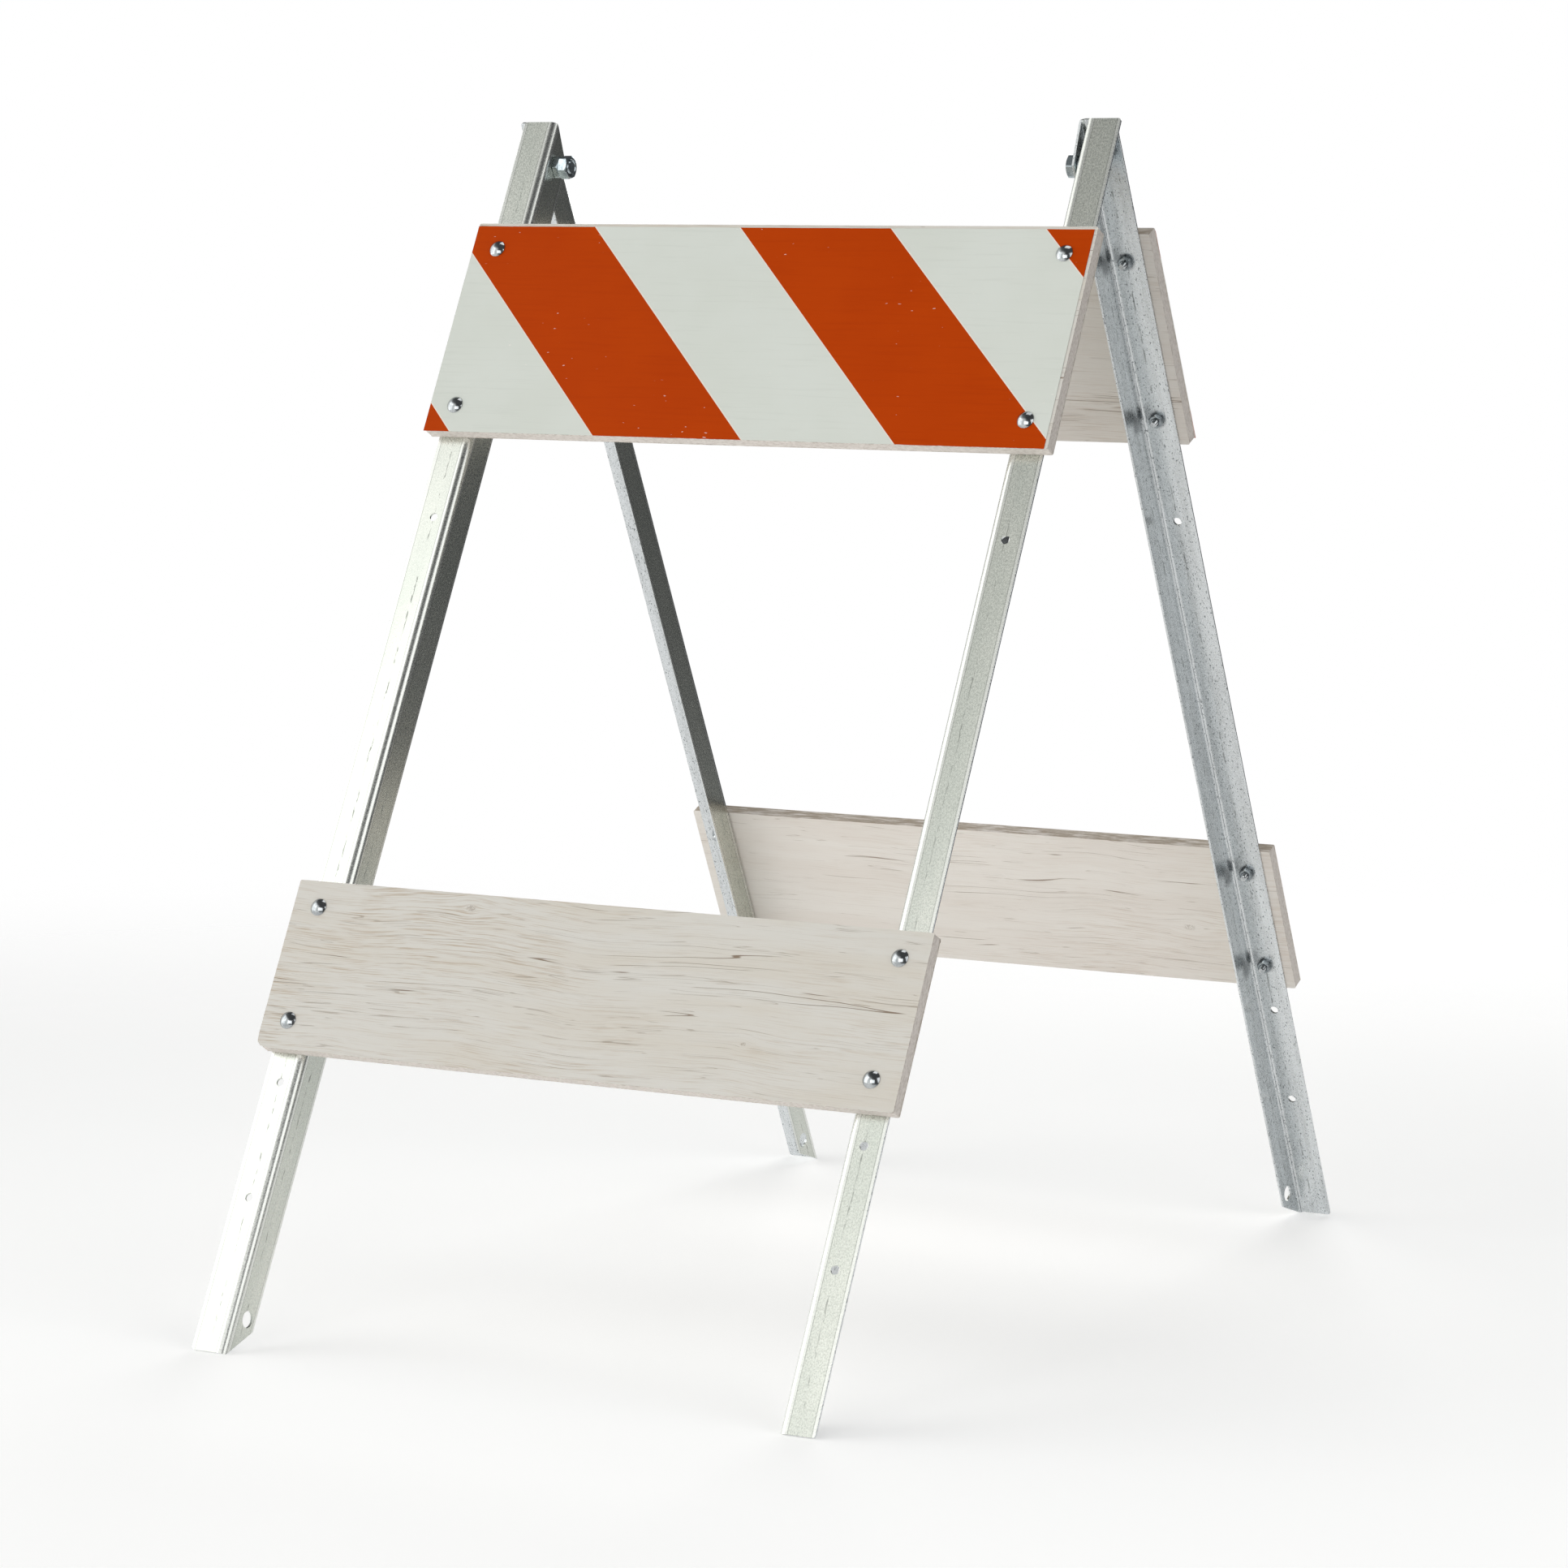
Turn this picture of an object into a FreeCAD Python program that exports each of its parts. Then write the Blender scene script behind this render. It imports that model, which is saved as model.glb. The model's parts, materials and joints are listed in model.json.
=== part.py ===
import FreeCAD, Part
import Sketcher
import math
import os

# Folding A-frame sawhorse barricade, millimetres, +Z up, X along the boards, front at -Y.
# The origin is on the floor, midway between the four feet.
# Two equal frames stand back to back and turn on two bolts that lie on one axis.
# Each frame is two formed angle legs with two plywood boards bolted across them.

os.makedirs("parts", exist_ok=True)
doc = FreeCAD.newDocument("Sawhorse")

# ---- driving dimensions ----

SIZES = (
    ("board_length", 609.6, "length of all four boards"),
    ("board_thickness", 12.7, "plywood thickness"),
    ("top_board_height", 203.2, "height of the upper board"),
    ("low_board_height", 150.8, "height of the lower board"),
    ("top_bolt_inset", 25.4, "upper board's top edge to its first bolt"),
    ("low_bolt_inset", 23.6, "lower board's top edge to its first bolt"),
    ("board_corner", 2.5, "rounding of a board's corners"),
    ("film_thickness", 0.4, "striped sheeting on the upper boards"),
    ("film_margin", 3.0, "bare wood above the sheeting and at its right end"),
    ("film_hole_margin", 1.0, "sheeting cut back around a board hole"),
    ("leg_length", 1143.0, "length of each leg"),
    ("leg_flange", 33.0, "width of each flange of the angle"),
    ("leg_wall", 2.0, "wall of the angle"),
    ("leg_bend", 4.5, "outside radius of the bend"),
    ("leg_corner", 3.0, "rounded corner of the board flange"),
    ("leg_span", 525.0, "heel to heel across one frame"),
    ("clip_length", 28.0, "clipped corner of the side flange, along the leg"),
    ("clip_start", 3.5, "outer face to where the clipped corner starts"),
    ("hole_first", 133.35, "leg end to the first board hole"),
    ("hole_second", 234.95, "leg end to the second board hole"),
    ("hole_third", 285.75, "leg end to the third board hole"),
    ("hole_fourth", 387.35, "leg end to the fourth board hole"),
    ("hole_diameter", 7.6, "board holes in the legs"),
    ("pivot_from_end", 35.0, "leg end to the pivot hole, and to the foot hole"),
    ("pivot_from_face", 20.3, "outer face of the leg to the pivot hole"),
    ("foot_hole_diameter", 14.3, "hole in the side flange near the foot"),
    ("pivot_gap", 5.0, "clear space between the two side flanges at a pivot"),
    ("pivot_diameter", 12.7, "pivot bolt shank"),
    ("pivot_play", 0.1, "radial clearance of the pivot bolt in a leg"),
    ("pivot_flats", 19.05, "across flats of the pivot bolt head and nuts"),
    ("pivot_head", 7.9, "height of the pivot bolt head"),
    ("pivot_tip", 1.2, "chamfer at the pivot bolt's tip"),
    ("pivot_tail", 0.6, "pivot bolt beyond its last nut"),
    ("jam_nut_height", 5.6, "thin nut against the front leg"),
    ("hex_nut_height", 8.7, "full nut behind the thin nut"),
    ("hex_nut_turn", 14.0, "full nut turned against the thin nut, in degrees"),
    ("spacer_diameter", 20.0, "spacer ring between the side flanges"),
    ("part_gap", 0.3, "clearance between pieces of the two frames"),
    ("bolt_diameter", 6.35, "carriage bolt shank"),
    ("bolt_length", 25.4, "carriage bolt below its head"),
    ("bolt_head_diameter", 15.1, "carriage bolt head"),
    ("bolt_head_height", 3.7, "carriage bolt head dome"),
    ("bolt_head_rim", 0.6, "straight rim of the dome"),
    ("neck_depth", 3.6, "square neck below the head"),
    ("neck_play", 0.05, "square neck to the wood, each side"),
    ("bolt_tip", 0.6, "chamfer at a carriage bolt's tip"),
    ("bolt_play", 0.4, "radial clearance of a bolt in a board"),
    ("nut_flats", 11.1, "across flats of a carriage bolt's nut"),
    ("nut_height", 5.6, "height of a carriage bolt's nut"),
    ("hexagon_rim", 0.97, "bevel's inner diameter as a share of the flats"),
    ("hexagon_reach", 1.2, "bevel's outer diameter as a share of the flats"),
    ("hexagon_slope", 30.0, "slope of the bevel, in degrees"),
)

sheet = doc.addObject("Spreadsheet::Sheet", "Sizes")
for row, (alias, number, note) in enumerate(SIZES, start=1):
    sheet.set("A%d" % row, note)
    sheet.set("B%d" % row, str(number))
    sheet.setAlias("B%d" % row, alias)
doc.recompute()


def size(alias):
    return float(getattr(sheet, alias))


def value(expression):
    """The number that an expression on the sheet gives now."""
    found = sheet.evalExpression(expression)
    return float(getattr(found, "Value", found))


# ---- the open angle, from the stop ----
# Each leg leans until the end of one side flange, where its corner is clipped, meets the
# inside of the other leg's board flange. The rest pose stops part_gap short of that.

stop_reach = math.hypot(
    size("pivot_from_end"), size("pivot_from_face") - size("clip_start")
)
stop_face = size("pivot_from_face") - size("leg_wall") - size("part_gap")
stop_lead = math.atan2(size("pivot_from_face") - size("clip_start"), size("pivot_from_end"))
lean = (math.asin(stop_face / stop_reach) + stop_lead) / 2.0
foot_drop = (size("leg_length") - size("pivot_from_end")) * math.cos(lean)
foot_lift = (size("pivot_from_face") - size("clip_start")) * math.sin(lean)
pivot_height = foot_drop - foot_lift
frame_shift = (size("pivot_gap") + size("leg_wall")) / 2.0

X_AXIS = FreeCAD.Vector(1, 0, 0)
Y_AXIS = FreeCAD.Vector(0, 1, 0)
Z_AXIS = FreeCAD.Vector(0, 0, 1)


def turn(axis, degrees):
    return FreeCAD.Placement(FreeCAD.Vector(0, 0, 0), FreeCAD.Rotation(axis, degrees))


def move(x, y, z):
    return FreeCAD.Placement(FreeCAD.Vector(x, y, z), FreeCAD.Rotation())


# A frame's own axes: origin on the pivot axis, +Y from the boards to the other frame,
# +Z up the legs. The rear frame is the front one turned round.
FRAMES = {
    "front": move(0, 0, pivot_height).multiply(turn(X_AXIS, -math.degrees(lean))),
    "rear": move(0, 0, pivot_height)
    .multiply(turn(X_AXIS, math.degrees(lean)))
    .multiply(turn(Z_AXIS, 180)),
}
SIDES = {"front": {-1: "left", 1: "right"}, "rear": {-1: "right", 1: "left"}}

# ---- sketch and feature helpers ----

LEAST_CUT = 0.01  # cubic millimetres that a cut has to take away
SAME_PLACE = 0.01  # millimetres between two places that count as one
PARALLEL = 0.999  # cosine between two directions that count as parallel

sub_parts = []


def new_body(label):
    body = doc.addObject("PartDesign::Body", label)
    body.Label = label
    sub_parts.append(body)
    return body


def new_sketch(body, name, role):
    """A sketch on one of the body's own origin planes."""
    sketch = body.newObject("Sketcher::SketchObject", body.Name + "_" + name)
    plane = next(item for item in body.Origin.OriginFeatures if item.Role == role)
    sketch.AttachmentSupport = [(plane, "")]
    sketch.MapMode = "FlatFace"
    return sketch


def hold(sketch, kind, name, expression, *where):
    """Add a dimension that follows an expression on the sheet."""
    index = sketch.addConstraint(Sketcher.Constraint(kind, *where, value(expression)))
    sketch.renameConstraint(index, name)
    sketch.setExpression("Constraints." + name, expression)


def hold_point(sketch, geometry, vertex, name, across, up):
    hold(sketch, "DistanceX", name + "_across", across, -1, 1, geometry, vertex)
    hold(sketch, "DistanceY", name + "_up", up, -1, 1, geometry, vertex)


def draw_outline(sketch, corners, name="corner"):
    """A closed outline of straight edges through corners given as expressions."""
    points = [FreeCAD.Vector(value(across), value(up), 0) for across, up in corners]
    edges = []
    for index, start in enumerate(points):
        end = points[(index + 1) % len(points)]
        edges.append(sketch.addGeometry(Part.LineSegment(start, end), False))
    for index, edge in enumerate(edges):
        following = edges[(index + 1) % len(edges)]
        sketch.addConstraint(Sketcher.Constraint("Coincident", edge, 2, following, 1))
        hold_point(sketch, edge, 1, "%s%d" % (name, index), *corners[index])


def draw_square(sketch, name, across, up, half):
    """A square about a point, as the neck of a carriage bolt is."""
    left, right = ("%s %s (%s)" % (across, sign, half) for sign in "-+")
    low, high = ("%s %s (%s)" % (up, sign, half) for sign in "-+")
    draw_outline(sketch, ((left, low), (right, low), (right, high), (left, high)), name)


def draw_circle(sketch, name, across, up, radius):
    centre = FreeCAD.Vector(value(across), value(up), 0)
    ring = sketch.addGeometry(Part.Circle(centre, Z_AXIS, value(radius)), False)
    hold_point(sketch, ring, 3, name, across, up)
    hold(sketch, "Radius", name + "_radius", radius, ring)


def pad(body, sketch, length):
    feature = body.newObject("PartDesign::Pad", sketch.Name + "_pad")
    feature.Profile = sketch
    feature.setExpression("Length", length)
    doc.recompute()
    return feature


def pocket(body, sketch, length):
    """A pocket to both sides of its sketch, which has to take material away."""
    before = body.Shape.Volume
    feature = body.newObject("PartDesign::Pocket", sketch.Name + "_pocket")
    feature.Profile = sketch
    feature.Midplane = True
    feature.setExpression("Length", length)
    doc.recompute()
    if body.Shape.Volume > before - LEAST_CUT:
        raise RuntimeError(feature.Name + " cuts nothing")
    return feature


def straight_edges(shape, direction, test):
    """Names of the straight edges along a direction whose middle passes a test."""
    names = []
    for index, edge in enumerate(shape.Edges, start=1):
        if not isinstance(edge.Curve, Part.Line):
            continue
        if abs(edge.tangentAt(edge.FirstParameter).dot(direction)) < PARALLEL:
            continue
        if test(edge.CenterOfMass):
            names.append("Edge%d" % index)
    return names


def round_edges(body, base, name, edges, radius):
    feature = body.newObject("PartDesign::Fillet", body.Name + "_" + name)
    feature.Base = (base, edges)
    feature.setExpression("Radius", radius)
    doc.recompute()
    return feature


def near(first, second):
    return abs(first - second) < SAME_PLACE


# ---- leg ----
# Own axes: the heel is the Z line, the board flange runs along +X with its outer face at
# Y = 0, the side flange runs along +Y with its outer face at X = 0. The hole pattern is the
# same from both ends, so turning a leg end for end makes the other hand.

LEG_HOLES = ("hole_first", "hole_second", "hole_third", "hole_fourth")


def make_leg(label, pivot_at_start):
    body = new_body(label)
    flange = "Sizes.leg_flange"
    wall = "Sizes.leg_wall"
    profile = new_sketch(body, "profile", "XY_Plane")
    draw_outline(
        profile,
        (("0", "0"), (flange, "0"), (flange, wall), (wall, wall), (wall, flange), ("0", flange)),
    )
    angle = pad(body, profile, "Sizes.leg_length")
    heel = straight_edges(angle.Shape, Z_AXIS, lambda at: near(at.x, 0) and near(at.y, 0))
    bent = round_edges(body, angle, "bend", heel, "Sizes.leg_bend")
    inner = size("leg_wall")
    fold = straight_edges(bent.Shape, Z_AXIS, lambda at: near(at.x, inner) and near(at.y, inner))
    formed = round_edges(body, bent, "fold", fold, "Sizes.leg_bend - Sizes.leg_wall")
    tips = straight_edges(formed.Shape, Y_AXIS, lambda at: near(at.x, size("leg_flange")))
    round_edges(body, formed, "tips", tips, "Sizes.leg_corner")

    clips = new_sketch(body, "clips", "YZ_Plane")
    draw_clips(clips)
    pocket(body, clips, "4 * Sizes.leg_bend")

    board_holes = new_sketch(body, "board_holes", "XZ_Plane")
    for alias in LEG_HOLES:
        near_end = "Sizes." + alias
        far_end = "Sizes.leg_length - Sizes." + alias
        for end, up in (("near", near_end), ("far", far_end)):
            draw_circle(board_holes, alias + "_" + end, flange + " / 2", up,
                        "Sizes.hole_diameter / 2")
    pocket(body, board_holes, "4 * Sizes.leg_wall")

    pivot_radius = "Sizes.pivot_diameter / 2 + Sizes.pivot_play"
    foot_radius = "Sizes.foot_hole_diameter / 2"
    side_holes = new_sketch(body, "side_holes", "YZ_Plane")
    draw_circle(side_holes, "start_hole", "Sizes.pivot_from_face", "Sizes.pivot_from_end",
                pivot_radius if pivot_at_start else foot_radius)
    draw_circle(side_holes, "end_hole", "Sizes.pivot_from_face",
                "Sizes.leg_length - Sizes.pivot_from_end",
                foot_radius if pivot_at_start else pivot_radius)
    pocket(body, side_holes, "4 * Sizes.leg_wall")
    return body


def draw_clips(sketch):
    """The two clipped corners of the side flange, one at each end of the leg."""
    start = "Sizes.clip_start"
    flange = "Sizes.leg_flange"
    top = "Sizes.leg_length"
    clip = "Sizes.clip_length"
    draw_outline(sketch, ((start, "0"), (flange, "0"), (flange, clip)), "low_corner")
    top_clip = ((start, top), (flange, top), (flange, top + " - " + clip))
    draw_outline(sketch, top_clip, "top_corner")


# ---- boards and sheeting ----
# Own axes: X along the board from its middle, Z up from its bottom edge, the outer face at
# Y = 0 and the face on the legs at Y = board_thickness.


def bolt_columns():
    """The two bolt columns, measured from the middle of the board along X."""
    half = "(Sizes.leg_span + Sizes.leg_flange) / 2"
    return (("left", "-" + half), ("right", half))


def make_board(label, height, bolt_heights):
    body = new_body(label)
    half = "Sizes.board_length / 2"
    face = new_sketch(body, "face", "XZ_Plane")
    draw_outline(face, (("-" + half, "0"), (half, "0"), (half, height), ("-" + half, height)))
    blank = pad(body, face, "Sizes.board_thickness")
    blank.Reversed = True
    doc.recompute()
    ends = straight_edges(blank.Shape, Y_AXIS, lambda at: True)
    round_edges(body, blank, "corners", ends, "Sizes.board_corner")

    holes = new_sketch(body, "bolt_holes", "XZ_Plane")
    necks = new_sketch(body, "bolt_necks", "XZ_Plane")
    for side, across in bolt_columns():
        for level, up in bolt_heights:
            name = side + "_" + level
            draw_circle(holes, name, across, up, "Sizes.bolt_diameter / 2 + Sizes.bolt_play")
            draw_square(necks, name, across, up, "Sizes.bolt_diameter / 2 + Sizes.neck_play")
    pocket(body, holes, "4 * Sizes.board_thickness")
    pocket(body, necks, "2 * Sizes.neck_depth")
    return body


def make_sheeting(label, bolt_heights):
    """Striped film on the outer face of an upper board, with a hole for each bolt."""
    body = new_body(label)
    left = "-Sizes.board_length / 2"
    right = "Sizes.board_length / 2 - Sizes.film_margin"
    high = "Sizes.top_board_height - Sizes.film_margin"
    face = new_sketch(body, "face", "XZ_Plane")
    draw_outline(face, ((left, "0"), (right, "0"), (right, high), (left, high)))
    film = pad(body, face, "Sizes.film_thickness")
    film.Reversed = True
    doc.recompute()
    ends = straight_edges(film.Shape, Y_AXIS, lambda at: True)
    round_edges(body, film, "corners", ends, "Sizes.board_corner")
    holes = new_sketch(body, "bolt_holes", "XZ_Plane")
    for side, across in bolt_columns():
        for level, up in bolt_heights:
            draw_circle(holes, side + "_" + level, across, up,
                        "Sizes.bolt_diameter / 2 + Sizes.bolt_play + Sizes.film_hole_margin")
    pocket(body, holes, "4 * Sizes.film_thickness")
    return body


# ---- fasteners ----
# Own axes: the axis is Z, the face that bears on the work is at Z = 0, the shank or the
# bore runs along +Z.


def draw_hexagon(sketch, flats):
    corners = []
    for index in range(6):
        turned = 60 * index
        corners.append(
            (
                "%s / sqrt(3) * cos(%d)" % (flats, turned),
                "%s / sqrt(3) * sin(%d)" % (flats, turned),
            )
        )
    draw_outline(sketch, corners)


def bevel_corners(body, flats, end, inward):
    """Turn the hexagon's corners down at one end; inward is 1 or -1 along Z."""
    before = body.Shape.Volume
    sketch = new_sketch(body, "bevel_%s" % ("low" if inward > 0 else "high"), "XZ_Plane")
    rim = flats + " * Sizes.hexagon_rim / 2"
    beyond = flats + " * Sizes.hexagon_reach / 2"
    depth = "(%s - %s) * tan(Sizes.hexagon_slope * 1 deg)" % (beyond, rim)
    sign = "+" if inward > 0 else "-"
    corners = ((rim, end), (beyond, end), (beyond, "%s %s %s" % (end, sign, depth)))
    draw_outline(sketch, corners)
    groove = body.newObject("PartDesign::Groove", sketch.Name + "_groove")
    groove.Profile = sketch
    groove.ReferenceAxis = (sketch, ["V_Axis"])
    groove.Angle = 360
    doc.recompute()
    if body.Shape.Volume > before - LEAST_CUT:
        raise RuntimeError(groove.Name + " cuts nothing")


def make_nut(label, flats, height, bore):
    body = new_body(label)
    outline = new_sketch(body, "hexagon", "XY_Plane")
    draw_hexagon(outline, flats)
    pad(body, outline, height)
    hole = new_sketch(body, "bore", "XY_Plane")
    draw_circle(hole, "bore", "0", "0", bore + " / 2")
    pocket(body, hole, "4 * " + height)
    bevel_corners(body, flats, "0", 1)
    bevel_corners(body, flats, height, -1)
    return body


def turn_shank(body, diameter, length, tip):
    """A round shank from Z = 0, chamfered at its tip."""
    sketch = new_sketch(body, "shank", "XZ_Plane")
    radius = diameter + " / 2"
    draw_outline(
        sketch,
        (("0", "0"), (radius, "0"), (radius, "%s - %s" % (length, tip)),
         ("%s - %s" % (radius, tip), length), ("0", length)),
    )
    shank = body.newObject("PartDesign::Revolution", sketch.Name + "_turned")
    shank.Profile = sketch
    shank.ReferenceAxis = (sketch, ["V_Axis"])
    shank.Angle = 360
    doc.recompute()


def make_pivot_bolt(label, length):
    body = new_body(label)
    turn_shank(body, "Sizes.pivot_diameter", length, "Sizes.pivot_tip")
    head = new_sketch(body, "head", "XY_Plane")
    draw_hexagon(head, "Sizes.pivot_flats")
    raised = pad(body, head, "Sizes.pivot_head")
    raised.Reversed = True
    doc.recompute()
    bevel_corners(body, "Sizes.pivot_flats", "-Sizes.pivot_head", 1)
    return body


def make_spacer(label, length):
    body = new_body(label)
    ring = new_sketch(body, "ring", "XY_Plane")
    draw_circle(ring, "outside", "0", "0", "Sizes.spacer_diameter / 2")
    draw_circle(ring, "inside", "0", "0", "Sizes.pivot_diameter / 2 + Sizes.pivot_play")
    pad(body, ring, length)
    return body


def make_carriage_bolt(label):
    body = new_body(label)
    turn_shank(body, "Sizes.bolt_diameter", "Sizes.bolt_length", "Sizes.bolt_tip")
    neck = new_sketch(body, "neck", "XY_Plane")
    draw_square(neck, "neck", "0", "0", "Sizes.bolt_diameter / 2")
    pad(body, neck, "Sizes.neck_depth")

    dome = new_sketch(body, "dome", "XZ_Plane")
    radius = "Sizes.bolt_head_diameter / 2"
    rim = "Sizes.bolt_head_rim"
    height = "Sizes.bolt_head_height"
    rise = "(%s - %s)" % (height, rim)
    ball = "((%s)^2 + %s^2) / (2 * %s)" % (radius, rise, rise)
    corners = ((("0", "0"), (radius, "0")), ((radius, "0"), (radius, "-" + rim)))
    middle = "(%s) - %s" % (ball, height)
    base = sketch_line(dome, corners[0])
    side = sketch_line(dome, corners[1])
    centre = FreeCAD.Vector(0, value(middle), 0)
    start_angle = -math.pi / 2
    end_angle = math.atan2(-size("bolt_head_rim") - value(middle), value(radius))
    crown = sketch_arc(dome, centre, value(ball), start_angle, end_angle)
    axis = sketch_line(dome, (("0", "-" + height), ("0", "0")))
    joins = ((base, 2, side, 1), (side, 2, crown, 2), (crown, 1, axis, 1), (axis, 2, base, 1))
    for first, first_end, second, second_end in joins:
        dome.addConstraint(
            Sketcher.Constraint("Coincident", first, first_end, second, second_end)
        )
    hold_point(dome, base, 1, "middle", "0", "0")
    hold_point(dome, side, 1, "rim_under", radius, "0")
    hold_point(dome, crown, 2, "rim_over", radius, "-" + rim)
    hold_point(dome, crown, 1, "crown", "0", "-" + height)
    hold(dome, "DistanceX", "ball_across", "0", -1, 1, crown, 3)
    turned = body.newObject("PartDesign::Revolution", dome.Name + "_turned")
    turned.Profile = dome
    turned.ReferenceAxis = (dome, ["V_Axis"])
    turned.Angle = 360
    doc.recompute()
    return body


def sketch_line(sketch, ends):
    points = [FreeCAD.Vector(value(across), value(up), 0) for across, up in ends]
    return sketch.addGeometry(Part.LineSegment(*points), False)


def sketch_arc(sketch, centre, radius, start_angle, end_angle):
    circle = Part.Circle(centre, Z_AXIS, radius)
    return sketch.addGeometry(Part.ArcOfCircle(circle, start_angle, end_angle), False)


# ---- one frame: legs, boards, sheeting and their fasteners ----


def put(body, frame, local):
    """Place a body by its place on its frame's own axes."""
    body.Placement = FRAMES[frame].multiply(local)
    doc.recompute()


def build_frame(frame):
    outer_face = -size("pivot_from_face")
    leg_top = size("pivot_from_end")
    half_span = size("leg_span") / 2.0
    flange_middle = size("leg_flange") / 2.0
    sides = SIDES[frame]

    leg = make_leg("%s_%s_leg" % (frame, sides[-1]), True)
    heel = move(frame_shift - half_span, outer_face, leg_top)
    put(leg, frame, heel.multiply(turn(Y_AXIS, 180)))
    leg = make_leg("%s_%s_leg" % (frame, sides[1]), False)
    put(leg, frame, move(frame_shift + half_span, outer_face, leg_top - size("leg_length")))

    levels = (
        ("top", "top_board_height", "top_bolt_inset", ("hole_first", "hole_third"), False),
        ("bottom", "low_board_height", "low_bolt_inset", ("hole_fourth", "hole_third"), True),
    )
    for level, height, inset, holes, from_foot in levels:
        alongs = [size(alias) for alias in holes]
        if from_foot:
            alongs = [size("leg_length") - along for along in alongs]
        board_top = alongs[0] - size(inset)
        upper = "Sizes.%s - Sizes.%s" % (height, inset)
        drop = "abs(Sizes.%s - Sizes.%s)" % (holes[1], holes[0])
        bolt_heights = (("upper", upper), ("lower", "%s - %s" % (upper, drop)))
        board = make_board("%s_%s_board" % (frame, level), "Sizes." + height, bolt_heights)
        board_low = leg_top - board_top - size(height)
        board_face = outer_face - size("board_thickness")
        put(board, frame, move(frame_shift, board_face, board_low))
        head_face = board_face
        if level == "top":
            film = make_sheeting("%s_sheeting" % frame, bolt_heights)
            head_face = board_face - size("film_thickness")
            put(film, frame, move(frame_shift, head_face, board_low))

        for local_side in (-1, 1):
            across = frame_shift + local_side * (half_span + flange_middle)
            for row, along in zip(("upper", "lower"), alongs):
                tag = "%s_%s_%s_%s" % (frame, level, sides[local_side], row)
                place_bolt(frame, tag, across, head_face, leg_top - along)


def place_bolt(frame, tag, across, head_face, up):
    inner_face = size("leg_wall") - size("pivot_from_face")
    bolt = make_carriage_bolt(tag + "_bolt")
    put(bolt, frame, move(across, head_face, up).multiply(turn(X_AXIS, -90)))
    nut = make_nut(tag + "_nut", "Sizes.nut_flats", "Sizes.nut_height", "Sizes.bolt_diameter")
    put(nut, frame, move(across, inner_face, up).multiply(turn(X_AXIS, -90)))


# ---- pivots ----
# Each bolt runs along +X, through the rear leg at the left and through the rear leg at the
# right, then through its spacer and the front leg, and is held by a thin nut and a full nut.


def build_pivot(side, rear_flange_start):
    wall = size("leg_wall")
    gap = size("part_gap")
    along_x = turn(Y_AXIS, 90)
    head_seat = rear_flange_start - gap
    spacer_start = rear_flange_start + wall + gap
    front_flange_start = rear_flange_start + wall + size("pivot_gap")
    nut_seat = front_flange_start + wall
    length = ("Sizes.part_gap + 2 * Sizes.leg_wall + Sizes.pivot_gap + Sizes.jam_nut_height"
              " + Sizes.hex_nut_height + Sizes.pivot_tail")
    bolt = make_pivot_bolt(side + "_pivot_bolt", length)
    bolt.Placement = move(head_seat, 0, pivot_height).multiply(along_x)
    spacer = make_spacer(side + "_pivot_spacer", "Sizes.pivot_gap - Sizes.part_gap")
    spacer.Placement = move(spacer_start, 0, pivot_height).multiply(along_x)
    nuts = (("jam_nut", 0.0, 0.0), ("hex_nut", size("jam_nut_height"), size("hex_nut_turn")))
    for kind, beyond, turned in nuts:
        nut = make_nut("%s_pivot_%s" % (side, kind), "Sizes.pivot_flats",
                       "Sizes.%s_height" % kind, "Sizes.pivot_diameter")
        seat = move(nut_seat + beyond, 0, pivot_height).multiply(along_x)
        nut.Placement = seat.multiply(turn(Z_AXIS, turned))
    doc.recompute()


for frame in FRAMES:
    build_frame(frame)
rear_heel = size("leg_span") / 2.0 - frame_shift
front_heel = size("leg_span") / 2.0 + frame_shift
build_pivot("left", -front_heel - size("leg_wall"))
build_pivot("right", rear_heel)
doc.recompute()

# ---- checks and files ----

for item in doc.Objects:
    for mark in ("Invalid", "Error"):
        if mark in item.State:
            raise RuntimeError("%s is %s" % (item.Name, mark))

for part in sub_parts:
    if part.Shape.isNull() or not part.Shape.isValid():
        raise RuntimeError(part.Label + " has no valid shape")
    if len(part.Shape.Solids) != 1:
        raise RuntimeError("%s has %d solids" % (part.Label, len(part.Shape.Solids)))

for part in sub_parts:
    part.Shape.exportStep("parts/%s.step" % part.Label)

print("parts", len(sub_parts))
print("lean in degrees", round(math.degrees(lean), 3))
print("pivot height", round(pivot_height, 3))
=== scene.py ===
import json
import math
import random
from collections import namedtuple

import bmesh
import bpy
from mathutils import Matrix, Vector, noise


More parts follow.
